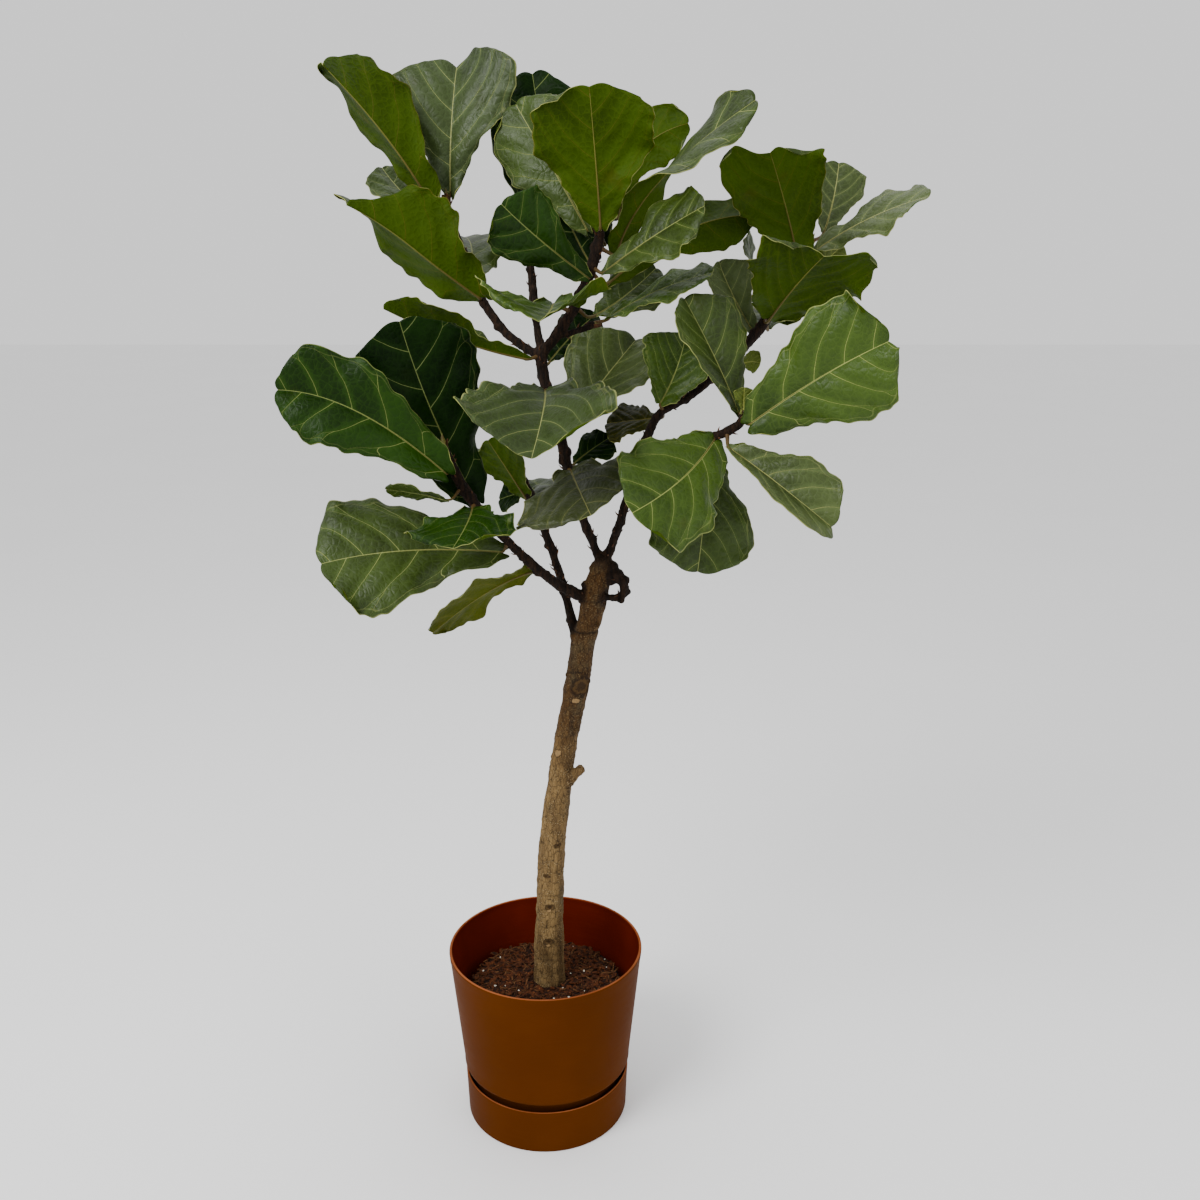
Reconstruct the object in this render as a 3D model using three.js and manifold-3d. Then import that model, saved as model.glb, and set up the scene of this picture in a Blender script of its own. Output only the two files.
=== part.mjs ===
// A potted fiddle leaf fig: a young branching tree in a round plastic planter with a saucer.
// Millimetres, +Z up. The origin is the centre of the saucer's underside, where the plant stands
// on the floor. +Y points away from the side that the plant is usually seen from.
import * as THREE from 'three';
import Module from 'manifold-3d';

const wasm = await Module();
wasm.setup();

// ---------------------------------------------------------------- driving dimensions

const POT = {
  rimRadius: 147.5,
  height: 278,
  wall: 3.5,
  lip: 4.5,
  shoulderRadius: 129,
  shoulderZ: 96,
  footRadius: 117,
  footTopZ: 82,
};
const SAUCER = { lipRadius: 127, baseRadius: 124.5, height: 71, wall: 3, floor: 4 };
const NURSERY = { rimRadius: 113, baseRadius: 92, rimZ: 211, wall: 1.6 };
const SOIL = { surfaceZ: 213, heap: 8 };
const ROOT_Z = 120;
const SEAT_GAP = 0.3;
const ROUND = 36;

const BLADE_THICKNESS = 1;
const PETIOLE_RADIUS = 2.4;

// ---------------------------------------------------------------- materials

function finish(color, roughness) {
  return new THREE.MeshStandardMaterial({ color, roughness, metalness: 0 });
}

const FINISH = {
  planter: finish(0x6b3d17, 0.55),
  saucer: finish(0x6b3d17, 0.55),
  nurseryPot: finish(0x141312, 0.6),
  soil: finish(0x35210f, 0.95),
  wood: finish(0x6e5c3f, 0.85),
  leaf: finish(0x2f5a20, 0.45),
};

// ---------------------------------------------------------------- solids

function toManifold(vertices, triangles) {
  const solid = new wasm.Manifold(
    new wasm.Mesh({
      numProp: 3,
      vertProperties: new Float32Array(vertices),
      triVerts: new Uint32Array(triangles),
    }),
  );
  return solid;
}

function toMesh(name, solid, material) {
  const { vertProperties, triVerts } = solid.getMesh();
  const geometry = new THREE.BufferGeometry();
  geometry.setAttribute('position', new THREE.BufferAttribute(vertProperties, 3));
  geometry.setIndex(new THREE.BufferAttribute(triVerts, 1));
  geometry.computeVertexNormals();
  const mesh = new THREE.Mesh(geometry, material);
  mesh.name = name;
  return mesh;
}

// A solid turned round Z from a profile of [radius, z] points that closes on itself or on the axis.
// The profile runs anticlockwise, seen with Z up and the radius to the right.
function turned(profile, segments = ROUND) {
  const vertices = [];
  const triangles = [];
  const rings = profile.map(([radius, z]) => {
    const first = vertices.length / 3;
    const count = radius > 0 ? segments : 1;
    for (let i = 0; i < count; i += 1) {
      const angle = (2 * Math.PI * i) / segments;
      vertices.push(radius * Math.cos(angle), radius * Math.sin(angle), z);
    }
    return { first, count };
  });
  const at = (ring, i) => ring.first + (ring.count > 1 ? i % segments : 0);
  rings.forEach((ring, k) => {
    const next = rings[(k + 1) % rings.length];
    for (let i = 0; i < segments; i += 1) {
      if (ring.count > 1) triangles.push(at(ring, i), at(ring, i + 1), at(next, i));
      if (next.count > 1) triangles.push(at(ring, i + 1), at(next, i + 1), at(next, i));
    }
  });
  return toManifold(vertices, triangles);
}

// Quarter-round points of a profile, from one angle to another, both in degrees.
function arc(radius, z, size, from, to, steps = 3) {
  return Array.from({ length: steps + 1 }, (_, i) => {
    const angle = THREE.MathUtils.degToRad(from + ((to - from) * i) / steps);
    return [radius + size * Math.cos(angle), z + size * Math.sin(angle)];
  });
}

// A closed round bar along a smooth curve through the points, with its own radius at each point.
function bar(points, radii, sides, spacing) {
  const curve = new THREE.CatmullRomCurve3(points, false, 'centripetal');
  const rings = Math.max(points.length - 1, Math.round(curve.getLength() / spacing));
  const frames = curve.computeFrenetFrames(rings);
  const vertices = [];
  const triangles = [];
  for (let k = 0; k <= rings; k += 1) {
    const centre = curve.getPointAt(k / rings);
    const place = curve.getUtoTmapping(k / rings) * (radii.length - 1);
    const index = Math.min(Math.floor(place), radii.length - 2);
    const radius = THREE.MathUtils.lerp(radii[index], radii[index + 1], place - index);
    for (let i = 0; i < sides; i += 1) {
      const angle = (2 * Math.PI * i) / sides;
      const out = frames.normals[k].clone().multiplyScalar(Math.cos(angle) * radius);
      out.addScaledVector(frames.binormals[k], Math.sin(angle) * radius);
      vertices.push(...centre.clone().add(out).toArray());
    }
  }
  for (let k = 0; k < rings; k += 1) {
    for (let i = 0; i < sides; i += 1) {
      const a = k * sides + i;
      const b = k * sides + ((i + 1) % sides);
      triangles.push(a, b, a + sides, b, b + sides, a + sides);
    }
  }
  const last = rings * sides;
  for (let i = 1; i < sides - 1; i += 1) {
    triangles.push(0, i + 1, i);
    triangles.push(last, last + i, last + i + 1);
  }
  return toManifold(vertices, triangles);
}

const vectors = (list) => list.map((p) => new THREE.Vector3(...p));

function union(solids) {
  return solids.reduce((sum, solid) => sum.add(solid));
}

// ---------------------------------------------------------------- pot, saucer, nursery pot

const potFloorZ = SAUCER.floor + SEAT_GAP;

function makePlanter() {
  const { rimRadius, height, wall, lip, shoulderRadius, shoulderZ, footRadius, footTopZ } = POT;
  const footBase = footRadius - 5;
  const round = 8;
  return turned([
    [0, potFloorZ],
    [footBase, potFloorZ],
    [footRadius, footTopZ],
    ...arc(shoulderRadius - round, footTopZ + round, round, -80, 0),
    [shoulderRadius, shoulderZ],
    [rimRadius - 1.5, height - 3 * lip],
    ...arc(rimRadius - lip / 2, height - lip / 2, lip / 2, -20, 200, 4),
    [rimRadius - 1.5 - wall, height - 3 * lip],
    [shoulderRadius - wall, shoulderZ + 4],
    [footRadius - wall, footTopZ + 2],
    [footBase - wall, potFloorZ + wall],
    [0, potFloorZ + wall],
  ]);
}

function makeSaucer() {
  const { lipRadius, baseRadius, height, wall, floor } = SAUCER;
  return turned([
    [0, 0],
    [baseRadius - 1.5, 0],
    [baseRadius, 1.5],
    ...arc(lipRadius - wall / 2, height - wall / 2, wall / 2, 0, 180, 4),
    [baseRadius - wall, floor],
    [0, floor],
  ]);
}

// Radius of the nursery pot's inside at a height.
function nurseryInside(z) {
  const floorZ = potFloorZ + POT.wall + SEAT_GAP;
  const share = (z - floorZ) / (NURSERY.rimZ - floorZ);
  return THREE.MathUtils.lerp(NURSERY.baseRadius, NURSERY.rimRadius, share) - NURSERY.wall;
}

function makeNurseryPot() {
  const { rimRadius, baseRadius, rimZ, wall } = NURSERY;
  const floorZ = potFloorZ + POT.wall + SEAT_GAP;
  return turned([
    [0, floorZ],
    [baseRadius, floorZ],
    [rimRadius, rimZ - 8],
    [rimRadius + 2, rimZ - 8],
    [rimRadius + 2, rimZ],
    [rimRadius - wall, rimZ],
    [nurseryInside(floorZ + wall), floorZ + wall],
    [0, floorZ + wall],
  ]);
}

function makeSoil(trunkHole) {
  const baseZ = potFloorZ + POT.wall + NURSERY.wall + 2 * SEAT_GAP;
  const edgeZ = SOIL.surfaceZ - SOIL.heap;
  const clear = (z) => nurseryInside(z) - SEAT_GAP;
  const heap = [0.92, 0.7, 0.45, 0.2].map((share) => [
    share * clear(SOIL.surfaceZ),
    SOIL.surfaceZ + SOIL.heap * (1 - share) - 1,
  ]);
  const body = turned([
    [0, baseZ],
    [clear(baseZ) - 1, baseZ],
    [clear(edgeZ), edgeZ],
    ...heap,
    [0, SOIL.surfaceZ + SOIL.heap],
  ]);
  return body.subtract(trunkHole);
}

// ---------------------------------------------------------------- the tree's wood

// Each stem is a list of [x, y, z, radius] points. A branch starts on the axis of the stem it grew
// from, thickens a little towards its newest growth, as this tree's branches do, and ends in a bud.
const STEMS = {
  trunk: [
    [3, 0, ROOT_Z, 27], [5, 0, 211, 25], [5, 0, 270, 23], [7, 0, 339, 21], [11, 0, 438, 20],
    [20, 0, 520, 19], [30, 0, 591, 18], [37, 0, 635, 17], [46, -3, 680, 17], [53, -6, 724, 17],
    [60, -8, 773, 17], [69, -10, 803, 17], [75, -12, 833, 16], [80, -12, 860, 15], [86, -12, 883, 14],
  ],
  knob: [[80, -12, 866, 11], [87, -12, 884, 14], [90, -12, 896, 9]],
  left: [
    [61, -12, 838, 8], [45, -25, 849, 8], [12, -45, 876, 7], [-26, -75, 920, 6], [-63, -100, 968, 6],
    [-93, -110, 1014, 7], [-110, -115, 1052, 6], [-115, -116, 1070, 3],
  ],
  back: [
    [52, -8, 770, 7], [43, 4, 800, 7], [35, 14, 830, 6], [22, 30, 873, 6], [5, 45, 918, 6],
    [-14, 58, 960, 7], [-24, 64, 985, 6], [-28, 66, 1002, 3],
  ],
  middle: [
    [86, -12, 883, 6], [70, -15, 926, 6], [56, -18, 964, 6], [41, -20, 1019, 7], [30, -20, 1067, 8],
    [17, -18, 1114, 8], [8, -15, 1146, 8], [4, -12, 1180, 8],
  ],
  middleLeft: [
    [6, -13, 1168, 6], [-20, 0, 1184, 6], [-42, 12, 1199, 6], [-60, 24, 1220, 6], [-80, 36, 1250, 6],
    [-96, 46, 1284, 6], [-112, 56, 1330, 6], [-118, 60, 1352, 5], [-121, 61, 1370, 3],
  ],
  middleStub: [[5, -12, 1172, 5], [0, 4, 1204, 5], [-5, 14, 1250, 6], [-9, 18, 1292, 5]],
  middleRight: [
    [5, -13, 1174, 7], [25, -15, 1197, 7], [44, -18, 1225, 7], [60, -20, 1254, 7], [72, -20, 1284, 7],
    [80, -16, 1310, 7], [83, -12, 1330, 6], [84, -11, 1350, 3],
  ],
  middleSpur: [[25, -15, 1197, 5], [52, -4, 1203, 4], [76, 4, 1212, 5]],
  right: [
    [89, -12, 883, 6], [100, -20, 915, 6], [111, -30, 950, 6], [120, -35, 984, 6], [133, -30, 1028, 6],
    [148, -20, 1067, 6], [166, -5, 1096, 6], [209, 15, 1118, 6], [266, 40, 1165, 6],
    [306, 58, 1206, 7], [340, 70, 1262, 7], [362, 76, 1298, 6], [370, 78, 1315, 3],
  ],
  rightFront: [
    [133, -30, 1030, 5], [163, -52, 1053, 5], [201, -74, 1065, 5], [240, -90, 1080, 6],
    [262, -98, 1094, 6], [265, -98, 1108, 3],
  ],
  deadStub: [
    [72, -14, 838, 6], [92, -22, 840, 5], [112, -24, 842, 5], [118, -24, 856, 6], [110, -24, 868, 7],
    [102, -22, 874, 5],
  ],
  cutStub: [[26, 0, 535, 9], [42, -9, 560, 8], [57, -16, 580, 7.5]],
};

const TRUNK_SIDES = 10;
const BRANCH_SIDES = 6;

function stemBar(stem, sides, spacing, growth = 0) {
  const radii = stem.map((p) => p[3] + growth);
  return bar(vectors(stem.map((p) => p.slice(0, 3))), radii, sides, spacing);
}

function makeTree(growth = 0) {
  const { trunk, ...branches } = STEMS;
  const limbs = Object.values(branches).map((stem) => stemBar(stem, BRANCH_SIDES, 36, growth));
  return union([stemBar(trunk, TRUNK_SIDES, 45, growth), ...limbs]);
}

// The hole in the soil that the trunk stands in, a little wider than the trunk.
function trunkHole() {
  const sunk = [[3, 0, ROOT_Z - SEAT_GAP, 27], ...STEMS.trunk.slice(1, 4)];
  return stemBar(sunk, 24, 45, 1);
}

// ---------------------------------------------------------------- leaves

// Half width of a blade along its length, as a share of the widest half: two lobes at the base,
// a waist, and a broad blunt end. This is the fiddle outline.
const FIDDLE = [
  [0, 0.14], [0.07, 0.3], [0.16, 0.37], [0.25, 0.44], [0.35, 0.58], [0.47, 0.79], [0.59, 0.94], [0.73, 1],
  [0.86, 0.96], [0.95, 0.78], [1, 0.52],
];
const WAIST_END = 0.65;

function fiddle(u, waist, taper) {
  const k = Math.max(1, FIDDLE.findIndex(([place]) => place >= u));
  const [from, a] = FIDDLE[k - 1];
  const [to, b] = FIDDLE[k];
  const share = (u - from) / (to - from);
  const width = a + (b - a) * (share * share * (3 - 2 * share));
  return width * THREE.MathUtils.lerp(waist, 1, Math.min(u / WAIST_END, 1)) * (1 - taper * u ** 3);
}

// Each leaf has the points where its blade begins, its midrib's middle and its tip, the way its
// upper side faces at the base, the blade's width, and the stem that its stalk grows from.
// Optional: faceTip, the way it faces at the tip where the blade twists. left and right, the angle
// at which that half leaves the midrib and the angle by which it bends on to its edge, in degrees.
// furl, how much steeper both halves stand at the tip. wave, beats and late, the height in mm, the
// number and the phase of the waves of the edges. waist, how narrow the waist is, below 1 being
// narrower. taper, how much narrower the tip is, as a share. notch, how deep the tip is notched,
// as a share of the length. hook, how far the tip bends up, in mm.
const LEAVES = {
  // top left
  leaf_01: { base: [-138, 32, 1362], mid: [-194, 12, 1450], tip: [-268, -15, 1535], width: 145,
    face: [0.34, 0.91, 0.26], stem: 'middleLeft', left: [60, -20], right: [42, -20], furl: 30 },
  leaf_02: { base: [-117, 66, 1380], mid: [-114, 78, 1466], tip: [-108, 125, 1553], width: 185,
    face: [0.05, -0.95, 0.3], stem: 'middleLeft', right: [38, -30], waist: 0.6, notch: 0.08 },
  leaf_03: { base: [-79, 20, 1246], mid: [-153, -8, 1304], tip: [-236, -38, 1378], width: 150,
    face: [0.3, 0.8, 0.4], stem: 'middleLeft', left: [30, -20], right: [22, -25], waist: 1.5,
    furl: 55, hook: -20 },
  leaf_04: { base: [-135, 90, 1338], mid: [-185, 110, 1378], tip: [-220, 130, 1418], width: 80,
    face: [0.3, -0.6, 0.7], stem: 'middleLeft' },
  // top middle
  leaf_05: { base: [84, -45, 1338], mid: [78, -60, 1415], tip: [70, -95, 1502], width: 155,
    face: [0.05, 0.9, 0.4], stem: 'middleRight' },
  leaf_06: { base: [66, -6, 1334], mid: [22, 15, 1409], tip: [-30, 55, 1495], width: 120,
    face: [-0.45, -0.8, 0.35], stem: 'middleRight' },
  leaf_07: { base: [88, 32, 1318], mid: [50, 90, 1422], tip: [38, 140, 1524], width: 140,
    face: [0, -0.9, 0.4], stem: 'middleRight' },
  leaf_08: { base: [70, 25, 1290], mid: [20, 120, 1400], tip: [-12, 180, 1552], width: 145,
    face: [-0.1, -0.85, 0.45], stem: 'middleRight' },
  leaf_09: { base: [110, 30, 1354], mid: [136, 45, 1430], tip: [204, 40, 1466], width: 80,
    face: [0.2, 0.95, -0.25], stem: 'middleRight' },
  leaf_10: { base: [106, -6, 1304], mid: [162, -22, 1395], tip: [282, -60, 1489], width: 120,
    face: [-0.3, 0.85, 0.35], faceTip: [-0.5, -0.6, 0.6], stem: 'middleRight' },
  leaf_11: { base: [66, -48, 1275], mid: [5, -92, 1324], tip: [-40, -112, 1366], width: 96,
    face: [0.42, -0.9, -0.13], stem: 'middleRight' },
  leaf_12: { base: [92, -45, 1282], mid: [152, -75, 1325], tip: [215, -110, 1362], width: 105,
    face: [-0.2, -0.7, 0.7], stem: 'middleRight' },
  leaf_13: { base: [100, 32, 1267], mid: [205, 60, 1334], tip: [302, 68, 1350], width: 84,
    face: [0.06, 0.85, -0.52], stem: 'middleRight', left: [30, -20], right: [30, -20] },
  leaf_14: { base: [80, 46, 1222], mid: [120, 82, 1246], tip: [165, 112, 1284], width: 86,
    face: [0.2, -0.7, 0.7], stem: 'middleRight' },
  leaf_15: { base: [96, 8, 1220], mid: [162, -15, 1257], tip: [233, -40, 1280], width: 90,
    face: [0, -0.4, 0.9], stem: 'middleSpur' },
  // right, far out
  leaf_16: { base: [349, 48, 1296], mid: [329, 45, 1365], tip: [301, 12, 1432], width: 120,
    face: [-0.21, 0.96, 0.18], stem: 'right', waist: 1.5, taper: -0.35 },
  leaf_17: { base: [312, 20, 1218], mid: [339, -24, 1264], tip: [368, -66, 1303], width: 158,
    face: [0.1, 0.7, 0.7], stem: 'right', waist: 1.5, wave: 8 },
  leaf_18: { base: [298, 78, 1193], mid: [264, 80, 1251], tip: [245, 80, 1295], width: 85,
    face: [0.11, -0.99, 0.08], stem: 'right', left: [55, -20], right: [5, -20] },
  leaf_19: { base: [394, 105, 1332], mid: [408, 125, 1377], tip: [417, 150, 1425], width: 84,
    face: [0.04, -0.9, 0.43], stem: 'right' },
  leaf_20: { base: [378, 64, 1306], mid: [444, 36, 1348], tip: [515, 0, 1375], width: 108,
    face: [-0.57, -0.53, 0.63], faceTip: [-0.51, -0.18, 0.84], stem: 'right' },
  leaf_21: { base: [384, 110, 1271], mid: [404, 118, 1294], tip: [425, 125, 1313], width: 47,
    face: [0.16, -0.97, 0.19], stem: 'right' },
  leaf_22: { base: [312, 112, 1232], mid: [298, 135, 1280], tip: [294, 150, 1335], width: 60,
    face: [0.95, -0.3, 0.1], stem: 'right' },
  // right, in front
  leaf_23: { base: [275, -118, 1098], mid: [364, -150, 1165], tip: [442, -185, 1211], width: 157,
    face: [-0.33, -0.94, -0.07], stem: 'rightFront', waist: 1.4, notch: 0.08 },
  leaf_24: { base: [261, -84, 1107], mid: [229, -75, 1177], tip: [188, -55, 1253], width: 116,
    face: [0.11, -0.96, 0.25], stem: 'rightFront', left: [60, -20], right: [8, -25] },
  leaf_25: { base: [165, -12, 1110], mid: [186, 10, 1150], tip: [201, 40, 1196], width: 112,
    face: [0.32, -0.86, 0.39], stem: 'right', left: [8, -20], right: [50, -20], waist: 1.3 },
  leaf_26: { base: [265, -108, 1114], mid: [265, -110, 1128], tip: [265, -112, 1143], width: 26,
    face: [0, -0.99, -0.14], stem: 'rightFront' },
  leaf_27: { base: [229, -96, 1071], mid: [182, -162, 1032], tip: [117, -235, 1005], width: 142,
    face: [0.51, -0.59, 0.62], stem: 'rightFront', waist: 1.6, left: [5, -20] },
  leaf_28: { base: [225, -75, 1045], mid: [221, -90, 980], tip: [211, -110, 895], width: 140,
    face: [0.1, -0.8, 0.55], stem: 'rightFront' },
  leaf_29: { base: [252, -112, 1062], mid: [307, -142, 1025], tip: [378, -170, 971], width: 112,
    face: [-0.14, -0.91, 0.39], stem: 'rightFront', left: [5, -15], right: [72, -20] },
  leaf_30: { base: [270, 15, 1155], mid: [284, 5, 1162], tip: [299, -5, 1161], width: 31,
    face: [-0.57, -0.82, 0.06], stem: 'right' },
  leaf_31: { base: [165, 20, 1085], mid: [132, 35, 1079], tip: [90, 50, 1072], width: 85,
    face: [0, -0.5, 0.85], stem: 'right' },
  // middle
  leaf_32: { base: [11, -42, 1129], mid: [12, -130, 1112], tip: [0, -215, 1064], width: 215,
    face: [0, -0.25, 0.97], stem: 'middle', left: [20, 6], right: [18, 6], furl: 8, wave: 4 },
  leaf_33: { base: [23, -45, 1240], mid: [19, -115, 1232], tip: [10, -185, 1227], width: 180,
    face: [0.02, -0.1, 1], stem: 'middleRight', left: [20, 6], right: [14, 6], furl: 12, wave: 9,
    late: 1 },
  leaf_34: { base: [42, 15, 1077], mid: [86, 42, 1131], tip: [137, 98, 1187], width: 150,
    face: [0.06, -0.82, 0.57], stem: 'middle', right: [45, -20] },
  leaf_35: { base: [-17, -28, 1170], mid: [-105, -45, 1196], tip: [-199, -65, 1239], width: 80,
    face: [0, 0.1, 1], stem: 'middle', left: [60, -20], right: [60, -20] },
  leaf_36: { base: [16, 55, 1160], mid: [45, 100, 1190], tip: [80, 135, 1218], width: 70,
    face: [0, -0.8, 0.6], stem: 'middle' },
  leaf_37: { base: [-21, 58, 963], mid: [-46, 48, 1006], tip: [-75, 40, 1054], width: 75,
    face: [0.37, 0.85, 0.39], stem: 'back' },
  leaf_38: { base: [45, -42, 1022], mid: [55, -115, 1015], tip: [74, -190, 991], width: 185,
    face: [-0.4, -0.3, 0.87], stem: 'middle', left: [14, -20], right: [14, -20] },
  leaf_39: { base: [50, 10, 1025], mid: [72, 25, 1040], tip: [100, 40, 1056], width: 60,
    face: [0, -0.6, 0.8], stem: 'middle' },
  // left
  leaf_40: { base: [-113, -138, 1039], mid: [-222, -152, 1120], tip: [-319, -160, 1144], width: 134,
    face: [0.05, -0.8, 0.55], stem: 'left', right: [40, -20], waist: 1.4, taper: 0.25 },
  leaf_41: { base: [-82, -82, 994], mid: [-133, -98, 1114], tip: [-167, -115, 1233], width: 172,
    face: [0.2, -0.85, 0.5], stem: 'left', waist: 1.2 },
  leaf_42: { base: [-123, -117, 1063], mid: [-140, -121, 1080], tip: [-161, -126, 1101], width: 27,
    face: [0.27, -0.96, 0.04], stem: 'left' },
  leaf_43: { base: [-49, -88, 922], mid: [-175, -130, 934], tip: [-280, -160, 922], width: 175,
    face: [0, -0.75, 0.65], stem: 'left' },
  leaf_44: { base: [-81, -124, 987], mid: [-83, -180, 979], tip: [-94, -245, 964], width: 142,
    face: [0.12, -0.25, 0.95], stem: 'left', left: [26, -10], right: [4, -25], wave: 6 },
  leaf_45: { base: [-113, -128, 1001], mid: [-149, -126, 1009], tip: [-193, -122, 1014], width: 44,
    face: [-0.17, -0.59, -0.79], stem: 'left' },
  leaf_46: { base: [-3, -43, 885], mid: [-69, -75, 863], tip: [-145, -105, 811], width: 108,
    face: [-0.47, 0.55, 0.69], stem: 'left' },
  leaf_47: { base: [-22, 78, 968], mid: [-42, 95, 962], tip: [-66, 115, 950], width: 50,
    face: [0, -0.8, 0.6], stem: 'back' },
  // behind, hidden from the front
  leaf_48: { base: [-40, 85, 1000], mid: [-110, 140, 1020], tip: [-190, 190, 1000], width: 150,
    face: [0, 0.4, 0.9], stem: 'back' },
  leaf_49: { base: [0, 85, 960], mid: [30, 170, 970], tip: [50, 250, 930], width: 160,
    face: [0, 0.6, 0.8], stem: 'back' },
  leaf_50: { base: [5, 32, 1080], mid: [-10, 120, 1090], tip: [-30, 215, 1060], width: 165,
    face: [0, 0.6, 0.8], stem: 'middle' },
  leaf_51: { base: [-92, 70, 1262], mid: [-100, 150, 1312], tip: [-125, 235, 1320], width: 160,
    face: [-0.1, 0.5, 0.85], stem: 'middleLeft' },
  leaf_52: { base: [-8, 50, 1295], mid: [10, 120, 1325], tip: [20, 205, 1340], width: 160,
    face: [0, -0.3, 0.95], stem: 'middleStub' },
  leaf_53: { base: [190, 45, 1120], mid: [190, 130, 1150], tip: [180, 220, 1130], width: 160,
    face: [0, 0.6, 0.8], stem: 'right' },
  leaf_54: { base: [320, 100, 1200], mid: [330, 180, 1220], tip: [330, 260, 1190], width: 150,
    face: [0, 0.6, 0.8], stem: 'right' },
};

const LEAF_DEFAULTS = {
  left: [14, -30], right: [14, -30], furl: 0, wave: 7, beats: 2.3, late: 0, waist: 1, taper: 0,
  notch: 0.04, hook: 0,
};

// Shares of a blade's length: how far the lobes at the base reach back past the stalk, how far the
// corners of the broad end stay behind the tip, and where a hooked tip starts to bend.
const LOBE_DEPTH = 0.05;
const BLUNT_DEPTH = 0.11;
const HOOK_START = 0.55;
// The right edge's waves are this much later than the left edge's, in radians. A blade of this
// width has waves of the full height.
const RIGHT_EDGE_LATE = 1.9;
const WAVE_WIDTH = 175;

function unit(v) {
  return new THREE.Vector3(...v).normalize();
}

// The blade's midrib is a parabola through its three points.
function midrib(leaf, u) {
  const [base, mid, tip] = vectors([leaf.base, leaf.mid, leaf.tip]);
  const point = base.clone().multiplyScalar((1 - u) * (1 - 2 * u));
  point.addScaledVector(mid, 4 * u * (1 - u)).addScaledVector(tip, u * (2 * u - 1));
  const along = base.clone().multiplyScalar(4 * u - 3);
  along.addScaledVector(mid, 4 - 8 * u).addScaledVector(tip, 4 * u - 1);
  return { point, along: along.normalize() };
}

// A point of the blade's middle surface: u runs from base to tip, v from the left edge to the right.
// Each half leaves the midrib at its lift angle and bends on by its curl angle, as an arc.
function bladePoint(leaf, u, v) {
  const { point, along } = midrib(leaf, u);
  const up = unit(leaf.face).lerp(unit(leaf.faceTip ?? leaf.face), u);
  up.addScaledVector(along, -up.dot(along)).normalize();
  const side = new THREE.Vector3().crossVectors(along, up);
  const length = new THREE.Vector3(...leaf.base).distanceTo(new THREE.Vector3(...leaf.tip));
  const out = Math.abs(v);
  const span = fiddle(u, leaf.waist, leaf.taper) * (leaf.width / 2);
  const [lift, curl] = (v < 0 ? leaf.left : leaf.right).map(THREE.MathUtils.degToRad);
  const start = lift + THREE.MathUtils.degToRad(leaf.furl) * u * u;
  const bend = Math.abs(curl) < 0.01 ? 0.01 : curl;
  const across = (span / bend) * (Math.sin(start + bend * out) - Math.sin(start));
  const rise = (span / bend) * (Math.cos(start) - Math.cos(start + bend * out));
  const lobes = -LOBE_DEPTH * Math.sin(Math.PI * out) * (1 - u) ** 4;
  const blunt = -BLUNT_DEPTH * out * out * u ** 5 - leaf.notch * (1 - out) ** 2 * u ** 8;
  const phase = 2 * Math.PI * leaf.beats * u + leaf.late + (v > 0 ? RIGHT_EDGE_LATE : 0);
  const ripple = leaf.wave * out * out * Math.sin(phase) * (leaf.width / WAVE_WIDTH);
  const hook = leaf.hook * Math.max(0, (u - HOOK_START) / (1 - HOOK_START)) ** 2;
  return point
    .addScaledVector(side, Math.sign(v) * across)
    .addScaledVector(along, length * (lobes + blunt))
    .addScaledVector(up, rise + hook + ripple);
}

// A blade is a net of rows from base to tip, and columns from edge to edge. The three middle
// columns carry the midrib and run on into the stalk.
const LARGE_NET = { rows: [0, 0.12, 0.28, 0.45, 0.62, 0.78, 0.91, 1], half: [0.24, 0.62, 1] };
const SMALL_NET = { rows: [0, 0.18, 0.42, 0.66, 0.87, 1], half: [0.28, 1] };
const SMALL_LEAF_WIDTH = 95;
const MIDRIB = { depth: 2.6, taper: 0.8 };

function bladeNormal(leaf, u, v) {
  const step = 0.02;
  const du = bladePoint(leaf, Math.min(u + step, 1), v).sub(bladePoint(leaf, Math.max(u - step, 0), v));
  const dv = bladePoint(leaf, u, Math.min(v + step, 1)).sub(bladePoint(leaf, u, Math.max(v - step, -1)));
  return dv.cross(du).normalize();
}

// The nearest point of a stem's axis, and the stem's radius there.
function nearestOnStem(stem, target) {
  let best = { distance: Infinity };
  for (let k = 0; k < stem.length - 1; k += 1) {
    const [a, b] = vectors([stem[k].slice(0, 3), stem[k + 1].slice(0, 3)]);
    const line = new THREE.Line3(a, b);
    const share = line.closestPointToPointParameter(target, true);
    const point = line.at(share, new THREE.Vector3());
    const distance = point.distanceTo(target);
    const radius = THREE.MathUtils.lerp(stem[k][3], stem[k + 1][3], share);
    if (distance < best.distance) best = { distance, point, radius };
  }
  return best;
}

// Six-sided rings of the stalk, from inside the stem towards the blade. Each ring runs from its
// upper left corner over the top, and back along the underside.
const STALK_CORNERS = [[-0.87, 0.5], [0, 1], [0.87, 0.5], [0.87, -0.5], [0, -1], [-0.87, -0.5]];
const STALK_PLACES = [0, 0.55];

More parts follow.
